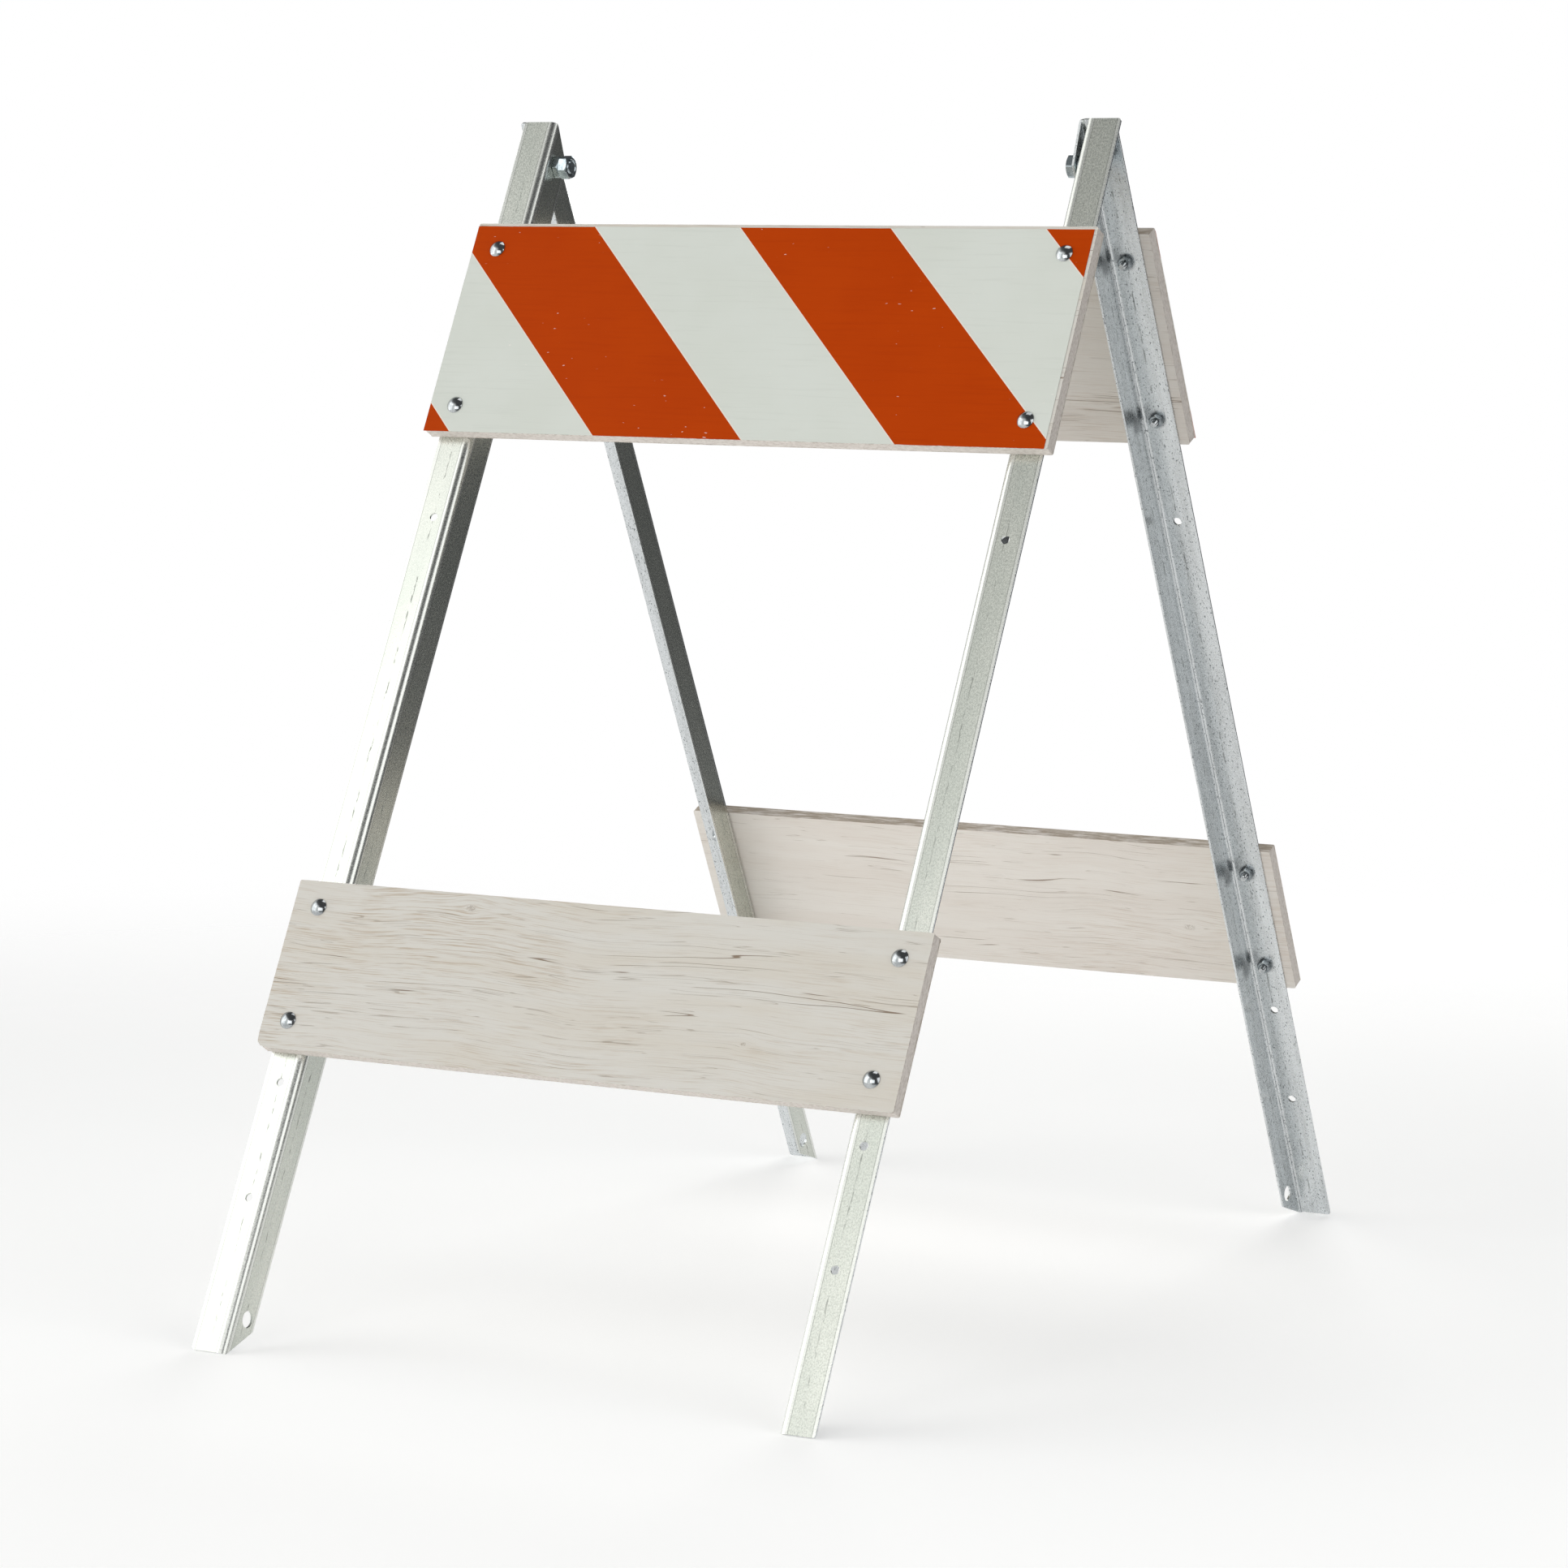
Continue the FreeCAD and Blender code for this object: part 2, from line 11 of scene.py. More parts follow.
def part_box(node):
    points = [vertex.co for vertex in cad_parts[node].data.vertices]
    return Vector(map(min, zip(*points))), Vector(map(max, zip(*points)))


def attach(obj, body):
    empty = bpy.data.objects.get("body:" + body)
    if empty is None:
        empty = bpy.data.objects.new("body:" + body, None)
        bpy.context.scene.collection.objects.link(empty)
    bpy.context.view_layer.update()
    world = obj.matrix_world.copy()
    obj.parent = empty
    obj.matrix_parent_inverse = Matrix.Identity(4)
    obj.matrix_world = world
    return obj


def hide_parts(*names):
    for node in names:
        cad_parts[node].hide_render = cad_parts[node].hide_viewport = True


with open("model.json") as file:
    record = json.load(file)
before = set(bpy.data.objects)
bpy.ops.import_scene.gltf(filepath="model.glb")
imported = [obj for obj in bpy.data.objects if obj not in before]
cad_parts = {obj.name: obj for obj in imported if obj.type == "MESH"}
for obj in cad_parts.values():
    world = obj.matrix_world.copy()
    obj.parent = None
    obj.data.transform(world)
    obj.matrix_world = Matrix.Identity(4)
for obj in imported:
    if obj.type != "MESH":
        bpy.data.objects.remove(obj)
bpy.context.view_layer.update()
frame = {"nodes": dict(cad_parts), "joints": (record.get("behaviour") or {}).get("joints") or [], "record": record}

# Looks of a folding A-frame sawhorse. Everything is in metres, in the frame of the CAD part.
# Each of its two frames has axes of its own: origin on the pivot axis, +X along the boards
# as seen from outside, +Y from the boards towards the other frame, +Z up the legs.

MM = 0.001
nodes = sorted(frame["nodes"])
mounts = {mount["name"]: mount for mount in frame["record"]["mounts"]}
pivot = Vector(frame["joints"][0]["pos_m"])
face_axis = Vector(mounts["front_left_upper_hole"]["axis"])
lean = math.atan2(face_axis.z, -face_axis.y)

STAND = Matrix.Translation(pivot)
PLACES = {
    "front": STAND @ Matrix.Rotation(-lean, 4, "X"),
    "rear": STAND @ Matrix.Rotation(lean, 4, "X") @ Matrix.Rotation(math.pi, 4, "Z"),
}
BODIES = {"front": "front_frame", "rear": "rear_frame"}


def frame_of(node):
    return "rear" if node.startswith("rear") else "front"


def local_box(node, place):
    """Lowest and highest corners of a CAD node in the axes of a placement."""
    back = place.inverted()
    points = [back @ vertex.co for vertex in frame["nodes"][node].data.vertices]
    low = Vector([min(point[axis] for point in points) for axis in range(3)])
    high = Vector([max(point[axis] for point in points) for axis in range(3)])
    return low, high


# ---- mesh helpers ----

def finish_mesh(name, builder, smooth_angle=35.0):
    """A mesh object from a bmesh, smooth except across sharp edges."""
    mesh = bpy.data.meshes.new(name)
    bmesh.ops.recalc_face_normals(builder, faces=builder.faces)
    builder.to_mesh(mesh)
    builder.free()
    shade_smooth(mesh, smooth_angle)
    piece = bpy.data.objects.new(name, mesh)
    bpy.context.scene.collection.objects.link(piece)
    return piece


def shade_smooth(mesh, sharp_degrees):
    for face in mesh.polygons:
        face.use_smooth = True
    mesh.set_sharp_from_angle(angle=math.radians(sharp_degrees))


def flatten_shading(piece):
    """Let the large flat faces set the normals, so that only the rounded edges curve."""
    modifier = piece.modifiers.new("weighted", "WEIGHTED_NORMAL")
    modifier.weight = 100
    modifier.keep_sharp = True
    apply_modifiers(piece)


def settle(piece, place, body, node, material):
    """Put a piece in its place and let it stand for its CAD node."""
    flatten_shading(piece)
    piece.matrix_world = place
    piece.data.materials.append(material)
    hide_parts(node)
    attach(piece, body)
    return piece


def ring_of(builder, points):
    return [builder.verts.new(point) for point in points]


def bridge(builder, first, second):
    """Quads between two closed rings of the same length."""
    count = len(first)
    for index in range(count):
        following = (index + 1) % count
        builder.faces.new((first[index], first[following], second[following], second[index]))


def circle_of(builder, radius, height, segments):
    """A ring about Z, or the single point on the axis when the radius is nothing."""
    if radius < 1e-7:
        return [builder.verts.new((0, 0, height))]
    angles = [2 * math.pi * index / segments for index in range(segments)]
    return ring_of(builder, [
        (radius * math.cos(angle), radius * math.sin(angle), height) for angle in angles
    ])


def lathe_rings(builder, outline, segments):
    """Rings of a turned outline of (radius, height) about Z, closed at the axis."""
    rings = [circle_of(builder, radius, height, segments) for radius, height in outline]
    for first, second in zip(rings, rings[1:]):
        join_rings(builder, first, second)
    return rings


def add_prism(builder, first_points, last_points):
    """A closed solid between two matching outlines."""
    first = ring_of(builder, first_points)
    last = ring_of(builder, last_points)
    bridge(builder, first, last)
    builder.faces.new(first)
    builder.faces.new(last)


def join_rings(builder, first, second):
    if len(first) == 1 and len(second) == 1:
        return
    if len(first) == 1 or len(second) == 1:
        tip, ring = (first[0], second) if len(first) == 1 else (second[0], first)
        for index in range(len(ring)):
            builder.faces.new((tip, ring[index], ring[(index + 1) % len(ring)]))
        return
    bridge(builder, first, second)


# ---- material helpers ----

class Nodes:
    """A small wrapper that adds shader nodes and links them."""

    def __init__(self, tree):
        self.tree = tree

    def add(self, kind, settings=None, **inputs):
        node = self.tree.nodes.new(kind)
        for name, value in (settings or {}).items():
            setattr(node, name, value)
        for name, value in inputs.items():
            self.feed(node.inputs[name.replace("_", " ")], value)
        return node

    def feed(self, socket, value):
        if isinstance(value, bpy.types.NodeSocket):
            self.tree.links.new(value, socket)
        else:
            socket.default_value = value

    def math(self, operation, *values):
        node = self.tree.nodes.new("ShaderNodeMath")
        node.operation = operation
        for index, value in enumerate(values):
            self.feed(node.inputs[index], value)
        return node.outputs[0]

    def times(self, first, second):
        return self.math("MULTIPLY", first, second)

    def over(self, first, second):
        return self.math("DIVIDE", first, second)

    def plus(self, first, second):
        return self.math("ADD", first, second)

    def minus(self, first, second):
        return self.math("SUBTRACT", first, second)

    def greater(self, first, second):
        return self.math("MAXIMUM", first, second)

    def lesser(self, first, second):
        return self.math("MINIMUM", first, second)

    def magnitude(self, value):
        return self.math("ABSOLUTE", value)

    def split(self, vector):
        """The X, Y and Z of a vector."""
        return self.add("ShaderNodeSeparateXYZ", Vector=vector).outputs

    def mix(self, factor, first, second):
        node = self.tree.nodes.new("ShaderNodeMix")
        node.data_type = "RGBA"
        self.feed(node.inputs[0], factor)
        self.feed(node.inputs[6], first)
        self.feed(node.inputs[7], second)
        return node.outputs[2]

    def ramp(self, value, low, high, start=0.0, end=1.0):
        """value from low..high mapped smoothly to start..end."""
        node = self.tree.nodes.new("ShaderNodeMapRange")
        node.interpolation_type = "SMOOTHSTEP"
        self.feed(node.inputs[0], value)
        for index, number in enumerate((low, high, start, end), start=1):
            self.feed(node.inputs[index], number)
        return node.outputs[0]

    def noise(self, vector, scale, detail=3.0, roughness=0.55):
        node = self.tree.nodes.new("ShaderNodeTexNoise")
        self.feed(node.inputs["Vector"], vector)
        self.feed(node.inputs["Scale"], scale)
        self.feed(node.inputs["Detail"], detail)
        self.feed(node.inputs["Roughness"], roughness)
        return node.outputs[0]

    def scaled(self, vector, factors):
        node = self.tree.nodes.new("ShaderNodeMapping")
        self.feed(node.inputs["Vector"], vector)
        self.feed(node.inputs["Scale"], factors)
        return node.outputs[0]

    def moved(self, vector, shift):
        node = self.tree.nodes.new("ShaderNodeMapping")
        self.feed(node.inputs["Vector"], vector)
        self.feed(node.inputs["Location"], shift)
        return node.outputs[0]

    def stripe(self, value, centre, inner, outer):
        """1 within inner of the centre, fading to 0 at outer."""
        return self.ramp(self.magnitude(self.minus(value, centre)), inner, outer, 1.0, 0.0)

    def bump(self, height, strength, distance, normal=None):
        node = self.tree.nodes.new("ShaderNodeBump")
        self.feed(node.inputs["Height"], height)
        self.feed(node.inputs["Strength"], strength)
        self.feed(node.inputs["Distance"], distance)
        if normal is not None:
            self.feed(node.inputs["Normal"], normal)
        return node.outputs[0]


def new_material(name):
    material = bpy.data.materials.new(name)
    material.use_nodes = True
    tree = material.node_tree
    tree.nodes.clear()
    kit = Nodes(tree)
    shader = tree.nodes.new("ShaderNodeBsdfPrincipled")
    output = tree.nodes.new("ShaderNodeOutputMaterial")
    tree.links.new(shader.outputs[0], output.inputs[0])
    coordinates = tree.nodes.new("ShaderNodeTexCoord").outputs["Object"]
    return material, kit, shader, coordinates


def rgb(red, green, blue):
    """A linear colour from 0..255 display values."""
    channels = []
    for channel in (red, green, blue):
        share = channel / 255.0
        channels.append(share / 12.92 if share <= 0.04045 else ((share + 0.055) / 1.055) ** 2.4)
    return (*channels, 1.0)


# ---- materials ----

STEEL_DULL = rgb(208, 212, 204)
STEEL_CLEAN = rgb(222, 224, 216)
STEEL_INNER = rgb(212, 215, 217)
STEEL_GRAIN = rgb(150, 156, 150)
STEEL_RUN = rgb(236, 240, 242)
STEEL_PIT = rgb(84, 90, 92)
# Painted highlight on the rounded edges.
STEEL_PAINTED_HIGHLIGHT = rgb(236, 237, 234)
# Painted dark reflection line beside the edges.
STEEL_PAINTED_DARK_REFLECTION = rgb(110, 112, 108)
# Painted shade and dark reflections round the nuts.
STEEL_PAINTED_SHADE = rgb(62, 66, 70)
STEEL_RUB = rgb(96, 98, 94)
# Painted shade along the inner side of the bend.
STEEL_BEND_SHADE = rgb(96, 102, 106)


def galvanised_steel(name, side, flange, bolts, seed):
    """Zinc-coated sheet: fine spangle and wear, with painted highlights and dark reflections on the rolled edges,
    painted shade along the inner bend, and painted shade and reflections round the bolts.
    """
    material, kit, shader, place = new_material(name)
    shifted = kit.moved(place, (seed, seed * 0.7, seed * 1.3))
    x, y, _ = kit.split(place)
    facing = kit.split(kit.add("ShaderNodeTexCoord").outputs["Normal"])
    inside = kit.ramp(kit.greater(facing[1], kit.times(facing[0], side)), 0.4, 0.7)
    outside = kit.minus(1.0, inside)
    fine = kit.noise(kit.scaled(shifted, (1, 1, 0.7)), 800.0, 2.0, 0.6)
    rub = dashed_rub(kit, x, y, shifted, flange)

    tone = spangle_tone(kit, shifted, fine, inside)
    # Painted highlights and painted dark reflection lines on the outer faces' rounded edges.
    tone = painted_edge_highlights(kit, tone, kit.greater(kit.magnitude(x), y), flange, outside)
    # Painted shade round the nuts and their painted reflections beside them.
    tone = kit.mix(bolt_shade(kit, place, bolts, inside), tone, STEEL_PAINTED_SHADE)
    tone = kit.mix(kit.times(rub, 0.55), tone, STEEL_RUB)
    # Painted shade in the inner corner of the bend.
    tone = kit.mix(painted_bend_shade(kit, x, y, shifted, inside), tone, STEEL_BEND_SHADE)
    kit.feed(shader.inputs["Base Color"], tone)
    shader.inputs["Metallic"].default_value = 1.0
    rough = kit.ramp(fine, 0.3, 0.7, 0.24, 0.33)
    kit.feed(shader.inputs["Roughness"], kit.plus(rough, kit.times(rub, 0.2)))

    waves = kit.noise(kit.scaled(shifted, (1, 1, 0.15)), 45.0, 2.0, 0.5)
    normal = kit.bump(waves, 0.2, 0.15 * MM)
    height = kit.minus(kit.times(fine, 0.35), rub)
    kit.feed(shader.inputs["Normal"], kit.bump(height, 0.5, 0.04 * MM, normal))
    return material


def spangle_tone(kit, shifted, fine, inside):
    """Clouded zinc with fine grain, and pale runs and dark pits on the inner faces."""
    cloud = kit.noise(kit.scaled(shifted, (1, 1, 0.25)), 24.0, 3.0, 0.55)
    tone = kit.mix(kit.ramp(cloud, 0.3, 0.7), STEEL_DULL, STEEL_CLEAN)
    tone = kit.mix(inside, tone, STEEL_INNER)
    tone = kit.mix(kit.ramp(fine, 0.38, 0.62, 0.30, 0.0), tone, STEEL_GRAIN)
    runs = kit.ramp(kit.noise(kit.scaled(shifted, (1, 1, 0.06)), 160.0, 2.0, 0.55), 0.35, 0.65)
    tone = kit.mix(kit.times(runs, kit.times(inside, 0.35)), tone, STEEL_RUN)
    pits = kit.noise(kit.scaled(shifted, (1, 1, 0.6)), 720.0, 1.0, 0.5)
    pits = kit.times(kit.ramp(pits, 0.63, 0.70), kit.ramp(inside, 0.0, 1.0, 0.15, 0.7))
    return kit.mix(pits, tone, STEEL_PIT)


def painted_edge_highlights(kit, tone, across, flange, outside):
    """Painted highlights as pale bands beside the bend and the free edges, each with a thin painted dark
    reflection line.
    """
    band = kit.greater(kit.ramp(across, 7.4 * MM, 8.4 * MM, 1.0, 0.0),
                       kit.ramp(across, flange - 3.4 * MM, flange - 2.8 * MM))
    tone = kit.mix(kit.times(kit.times(band, outside), 0.55), tone, STEEL_PAINTED_HIGHLIGHT)
    painted_dark_line = kit.greater(kit.stripe(across, 8.2 * MM, 0.2 * MM, 0.5 * MM),
                         kit.stripe(across, flange - 3.5 * MM, 0.2 * MM, 0.5 * MM))
    return kit.mix(kit.times(kit.times(painted_dark_line, outside), 0.4), tone, STEEL_PAINTED_DARK_REFLECTION)


def bolt_shade(kit, place, bolts, inside):
    """Painted shade round each nut and the nut's painted dark reflection on the flange beside it."""
    dark = 0.0
    for bolt in bolts:
        beside = Vector((0, 13 * MM, bolt.z))
        for centre, near, far in ((bolt, 6.5 * MM, 10 * MM), (beside, 3 * MM, 12 * MM)):
            apart = kit.add("ShaderNodeVectorMath", {"operation": "DISTANCE"}, Vector=place)
            apart.inputs[1].default_value = centre
            dark = kit.greater(dark, kit.ramp(apart.outputs["Value"], near, far, 0.6, 0.0))
    return kit.times(dark, inside)


def dashed_rub(kit, x, y, shifted, flange):
    """Short dark rubs in a wandering line along the middle of both flanges."""
    strokes = kit.ramp(kit.noise(kit.scaled(shifted, (2.2, 2.2, 0.4)), 300.0, 1.0), 0.50, 0.58)
    along = kit.scaled(shifted, (0, 0, 1))
    patches = kit.ramp(kit.noise(along, 20.0, 2.0), 0.40, 0.56)
    wander = kit.times(kit.noise(along, 9.0, 1.0), 3 * MM)
    middle = kit.plus(wander, flange / 2 - 1.5 * MM)
    front = kit.magnitude(kit.minus(kit.magnitude(x), middle))
    beside = kit.magnitude(kit.minus(y, middle))
    band = kit.ramp(kit.lesser(front, beside), 0.3 * MM, 1.1 * MM, 1.0, 0.0)
    return kit.times(kit.times(strokes, patches), band)


def painted_bend_shade(kit, x, y, shifted, inside):
    """A thin broken line of painted shade along the inner side of the bend."""
    wobble = kit.noise(kit.scaled(shifted, (0, 0, 1)), 90.0, 3.0, 0.7)
    across = kit.minus(kit.magnitude(x), y)
    line = kit.stripe(across, kit.times(wobble, 1.2 * MM), 0.2 * MM, 1.0 * MM)
    near = kit.ramp(kit.plus(kit.magnitude(x), y), 6.5 * MM, 9 * MM, 1.0, 0.0)
    line = kit.times(kit.times(line, near), inside)
    return kit.times(line, kit.ramp(wobble, 0.3, 0.6, 0.2, 0.75))


WoodTones = namedtuple("WoodTones", "face warm brown dark edge top_edge")
WHITEWASHED = WoodTones(
    face=rgb(213, 210, 203), warm=rgb(209, 203, 192), brown=rgb(178, 158, 134),
    dark=rgb(118, 96, 74), edge=rgb(224, 217, 210), top_edge=rgb(214, 208, 200),
)
BARE = WoodTones(
    face=rgb(218, 213, 206), warm=rgb(213, 206, 198), brown=rgb(196, 183, 170),
    dark=rgb(142, 126, 112), edge=rgb(228, 221, 214), top_edge=rgb(176, 163, 147),
)


def plywood(name, tones, thickness, seed, knots=()):
    """Thinly painted plywood: long fine grain on the faces, painted plies on the edges.

    Each knot is its x, z and radius.
    """
    material, kit, shader, place = new_material(name)
    moved = kit.moved(place, (seed, seed * 0.31, seed * 0.77))
    grain_place, hearts = knot_swirl(kit, place, moved, knots)
    streaks = kit.noise(kit.scaled(grain_place, (0.02, 1, 1)), 1150.0, 3.0, 0.65)
    tone = grain_tone(kit, tones, place, moved, grain_place, streaks)
    long_cracks = grain_lines(kit, grain_place, moved, 0.02, 95.0, 0.006, 0.55)
    hair_cracks = grain_lines(kit, grain_place, moved, 0.02, 240.0, 0.010, 0.52)
    cracks = kit.greater(long_cracks, kit.times(hair_cracks, 0.45))
    tone = kit.mix(kit.times(cracks, 0.85), tone, tones.dark)
    tone = kit.mix(kit.times(hearts, 0.4), tone, tones.dark)

    _, flat, upward = kit.split(kit.add("ShaderNodeTexCoord").outputs["Normal"])
    on_edge = kit.ramp(kit.magnitude(flat), 0.45, 0.75, 1.0, 0.0)
    plies, seams = ply_stack(kit, place, moved, thickness, tones.edge, tones.dark)
    rough_top = kit.noise(kit.scaled(moved, (0.1, 1, 1)), 420.0, 3.0, 0.7)
    bare = kit.mix(kit.ramp(rough_top, 0.4, 0.65), tones.top_edge, tones.edge)
    plies = kit.mix(kit.ramp(upward, 0.6, 0.8), plies, bare)
    kit.feed(shader.inputs["Base Color"], kit.mix(on_edge, tone, plies))

    relief = kit.minus(kit.times(streaks, 0.8), cracks)
    relief = kit.minus(relief, kit.times(seams, on_edge))
    kit.feed(shader.inputs["Normal"], kit.bump(relief, 0.6, 0.3 * MM))
    kit.feed(shader.inputs["Roughness"], kit.ramp(streaks, 0.3, 0.7, 0.60, 0.80))
    shader.inputs["Specular IOR Level"].default_value = 0.25
    return material


def grain_tone(kit, tones, place, moved, grain_place, streaks):
    """Broad clouds, fine streaks and brown dashes, more worn towards the left end."""
    patches = kit.noise(kit.scaled(moved, (0.5, 1, 1)), 14.0, 3.0, 0.6)
    broad = kit.noise(kit.scaled(grain_place, (0.12, 1, 1)), 34.0, 3.0, 0.6)
    tone = kit.mix(kit.ramp(broad, 0.40, 0.66, 0.0, 0.75), tones.face, tones.warm)
    worn = kit.times(kit.ramp(patches, 0.36, 0.62, 0.25, 1.0),
                     kit.ramp(kit.split(place)[0], -0.28, 0.2, 1.0, 0.45))
    amount = kit.times(kit.ramp(streaks, 0.50, 0.68, 0.0, 0.8), worn)
    tone = kit.mix(amount, tone, tones.brown)
    dashes = kit.noise(kit.scaled(grain_place, (0.018, 1, 1)), 950.0, 2.0, 0.6)
    dashes = kit.times(kit.ramp(dashes, 0.59, 0.67, 0.0, 0.6), worn)
    return kit.mix(kit.times(dashes, kit.ramp(patches, 0.44, 0.58)), tone, tones.brown)


def grain_lines(kit, grain_place, moved, stretch, scale, width, share):
    """Thin wavy cracks: where a long slow field crosses its middle, broken up in patches."""
    field = kit.noise(kit.scaled(grain_place, (stretch, 1, 1)), scale, 1.0, 0.4)
    line = kit.stripe(field, 0.5, width * 0.35, width)
    gaps = kit.noise(kit.scaled(moved, (0.11, 1, 1)), scale * 0.8, 2.0, 0.6)
    return kit.times(line, kit.ramp(gaps, share - 0.02, share + 0.05))


def knot_swirl(kit, place, moved, knots):
    """Grain coordinates that bend round the knots, and the knots' dark hearts."""
    x, _, z = kit.split(place)
    base = kit.split(moved)
    drift = kit.noise(kit.scaled(moved, (1.0, 0.0, 0.6)), 4.0, 2.0, 0.5)
    bent = kit.plus(base[2], kit.times(drift, 0.03))
    speckle = kit.noise(moved, 700.0, 2.0, 0.6)
    hearts = 0.0
    for knot_x, knot_z, radius in knots:
        away_x = kit.times(kit.minus(x, knot_x), 0.6)
        away_z = kit.minus(z, knot_z)
        away = kit.math("SQRT", kit.plus(kit.times(away_x, away_x), kit.times(away_z, away_z)))
        push = kit.ramp(away, radius, radius * 9, 1.0, 0.0)
        around = kit.over(away_z, kit.plus(away, radius))
        bent = kit.plus(bent, kit.times(kit.times(push, around), -radius * 1.6))
        heart = kit.ramp(away, radius * 0.5, radius * 1.3, 1.0, 0.0)
        hearts = kit.greater(hearts, kit.times(heart, kit.ramp(speckle, 0.4, 0.55)))
    grain_place = kit.add("ShaderNodeCombineXYZ", X=base[0], Y=base[1], Z=bent)
    return grain_place.outputs[0], hearts


def ply_stack(kit, place, moved, thickness, edge, dark):
    """Painted edge: five faint plies, with a broken dark line beside each face."""
    wobble = kit.noise(moved, 50.0, 3.0, 0.6)
    depth = kit.plus(kit.split(place)[1], kit.times(kit.minus(wobble, 0.5), 0.9 * MM))
    ply = kit.math("FRACT", kit.times(kit.over(depth, thickness), 5.0))
    speckle = kit.noise(kit.scaled(moved, (0.6, 1, 0.6)), 520.0, 3.0, 0.65)
    from_seam = kit.magnitude(kit.minus(ply, 0.5))
    seam = kit.times(kit.ramp(from_seam, 0.43, 0.5), kit.ramp(speckle, 0.5, 0.62))
    middle = thickness / 2
    from_face = kit.minus(middle, kit.magnitude(kit.minus(depth, middle)))
    border = kit.stripe(from_face, 0.9 * MM, 0.2 * MM, 0.7 * MM)
    border = kit.times(border, kit.ramp(speckle, 0.45, 0.58))
    tone = kit.mix(kit.ramp(speckle, 0.35, 0.7, 0.0, 0.25), edge, dark)
    tone = kit.mix(kit.times(seam, 0.3), tone, dark)
    return kit.mix(kit.times(border, 0.4), tone, dark), seam


STRIPE_PITCH = 147 * MM
STRIPE_START = 29 * MM
FILM_SCUFF = rgb(236, 232, 226)
FILM_BORDER = rgb(238, 226, 214)


def striped_film(name, length, height, seed):
    """Reflective film with stripes at 45 degrees, over wood whose grain shows through."""
    material, kit, shader, place = new_material(name)
    moved = kit.moved(place, (seed, 0, seed))
    from_edge = stripe_distance(kit, place, length, height)
    ripple = kit.noise(kit.scaled(moved, (0.05, 1, 1.3)), 260.0, 3.0, 0.6)
    cloud = kit.noise(moved, 12.0, 3.0, 0.5)
    cloudy = kit.ramp(cloud, 0.3, 0.7)
    orange = kit.mix(cloudy, rgb(180, 60, 0), rgb(184, 63, 0))
    orange = kit.mix(kit.ramp(ripple, 0.45, 0.8, 0.0, 0.35), orange, rgb(166, 52, 0))
    white = kit.mix(cloudy, rgb(212, 216, 208), rgb(215, 219, 212))
    white = kit.mix(kit.ramp(ripple, 0.5, 0.85, 0.0, 0.35), white, rgb(194, 198, 190))
    tone = kit.mix(kit.ramp(from_edge, -0.12 * MM, 0.12 * MM), white, orange)
    border = kit.stripe(from_edge, -0.35 * MM, 0.3 * MM, 0.65 * MM)
    tone = kit.mix(kit.times(border, 0.75), tone, FILM_BORDER)
    flecks = kit.noise(kit.scaled(moved, (0.35, 1, 1)), 420.0, 1.0, 0.5)
    areas = kit.ramp(kit.noise(moved, 9.0, 2.0, 0.5), 0.45, 0.65)
    flecks = kit.times(kit.ramp(flecks, 0.735, 0.765), areas)
    tone = kit.mix(kit.times(flecks, 0.65), tone, FILM_SCUFF)
    kit.feed(shader.inputs["Base Color"], tone)
    kit.feed(shader.inputs["Roughness"], kit.ramp(cloud, 0.3, 0.7, 0.40, 0.50))
    shader.inputs["Specular IOR Level"].default_value = 0.04
    relief = kit.plus(ripple, kit.times(flecks, 0.6))
    kit.feed(shader.inputs["Normal"], kit.bump(relief, 0.35, 0.18 * MM))
    return material


def stripe_distance(kit, place, length, height):
    """Distance from the nearest stripe's edge, positive inside an orange stripe."""
    across, _, up = kit.split(place)
    along = kit.minus(kit.plus(kit.plus(across, length / 2), up), height)
    pairs = kit.over(kit.over(kit.plus(along, STRIPE_START), STRIPE_PITCH), 2.0)
    half = kit.magnitude(kit.minus(kit.math("FRACT", pairs), 0.25))
    nearest = kit.lesser(half, kit.minus(1.0, half))
    return kit.times(kit.minus(0.25, nearest), 2 * STRIPE_PITCH * math.sqrt(0.5))


ZINC_MARK = rgb(70, 72, 74)


def zinc_plate(name, light, dark, seed, rough_low, rough_high):
    """Bright zinc plate: smooth metal with faint clouds, rubs and small dark marks."""
    material, kit, shader, place = new_material(name)
    moved = kit.moved(place, (seed, seed, seed))
    cloud = kit.noise(moved, 120.0, 3.0, 0.6)
    marks = kit.ramp(kit.noise(moved, 900.0, 2.0, 0.6), 0.62, 0.74)
    tone = kit.mix(kit.ramp(cloud, 0.3, 0.7), light, dark)
    kit.feed(shader.inputs["Base Color"], kit.mix(kit.times(marks, 0.5), tone, ZINC_MARK))
    shader.inputs["Metallic"].default_value = 1.0
    kit.feed(shader.inputs["Roughness"], kit.ramp(cloud, 0.3, 0.75, rough_low, rough_high))
    scratches = kit.noise(kit.scaled(moved, (1, 1, 6)), 500.0, 2.0, 0.5)
    kit.feed(shader.inputs["Normal"], kit.bump(scratches, 0.25, 0.03 * MM))
    return material


# ---- legs ----

BEND_RADIUS = 6.2 * MM
EDGE_ROUND = 0.6 * MM
ROLL_DEPTH = 0.12 * MM
CLIP_LENGTH = 28.0 * MM
CLIP_START = 3.5 * MM
TIP_ROUND = 3.0 * MM
PIVOT_HOLE = 12.9 * MM
BOLT_HOLE = 6.8 * MM
HOLE_SEGMENTS = 40
BEND_STEPS = 10
SECTION_STEP = 22 * MM


def arc(centre_x, centre_y, radius, start, end, steps):
    points = []
    for index in range(steps + 1):
        angle = math.radians(start + (end - start) * index / steps)
        points.append((centre_x + radius * math.cos(angle), centre_y + radius * math.sin(angle)))
    return points


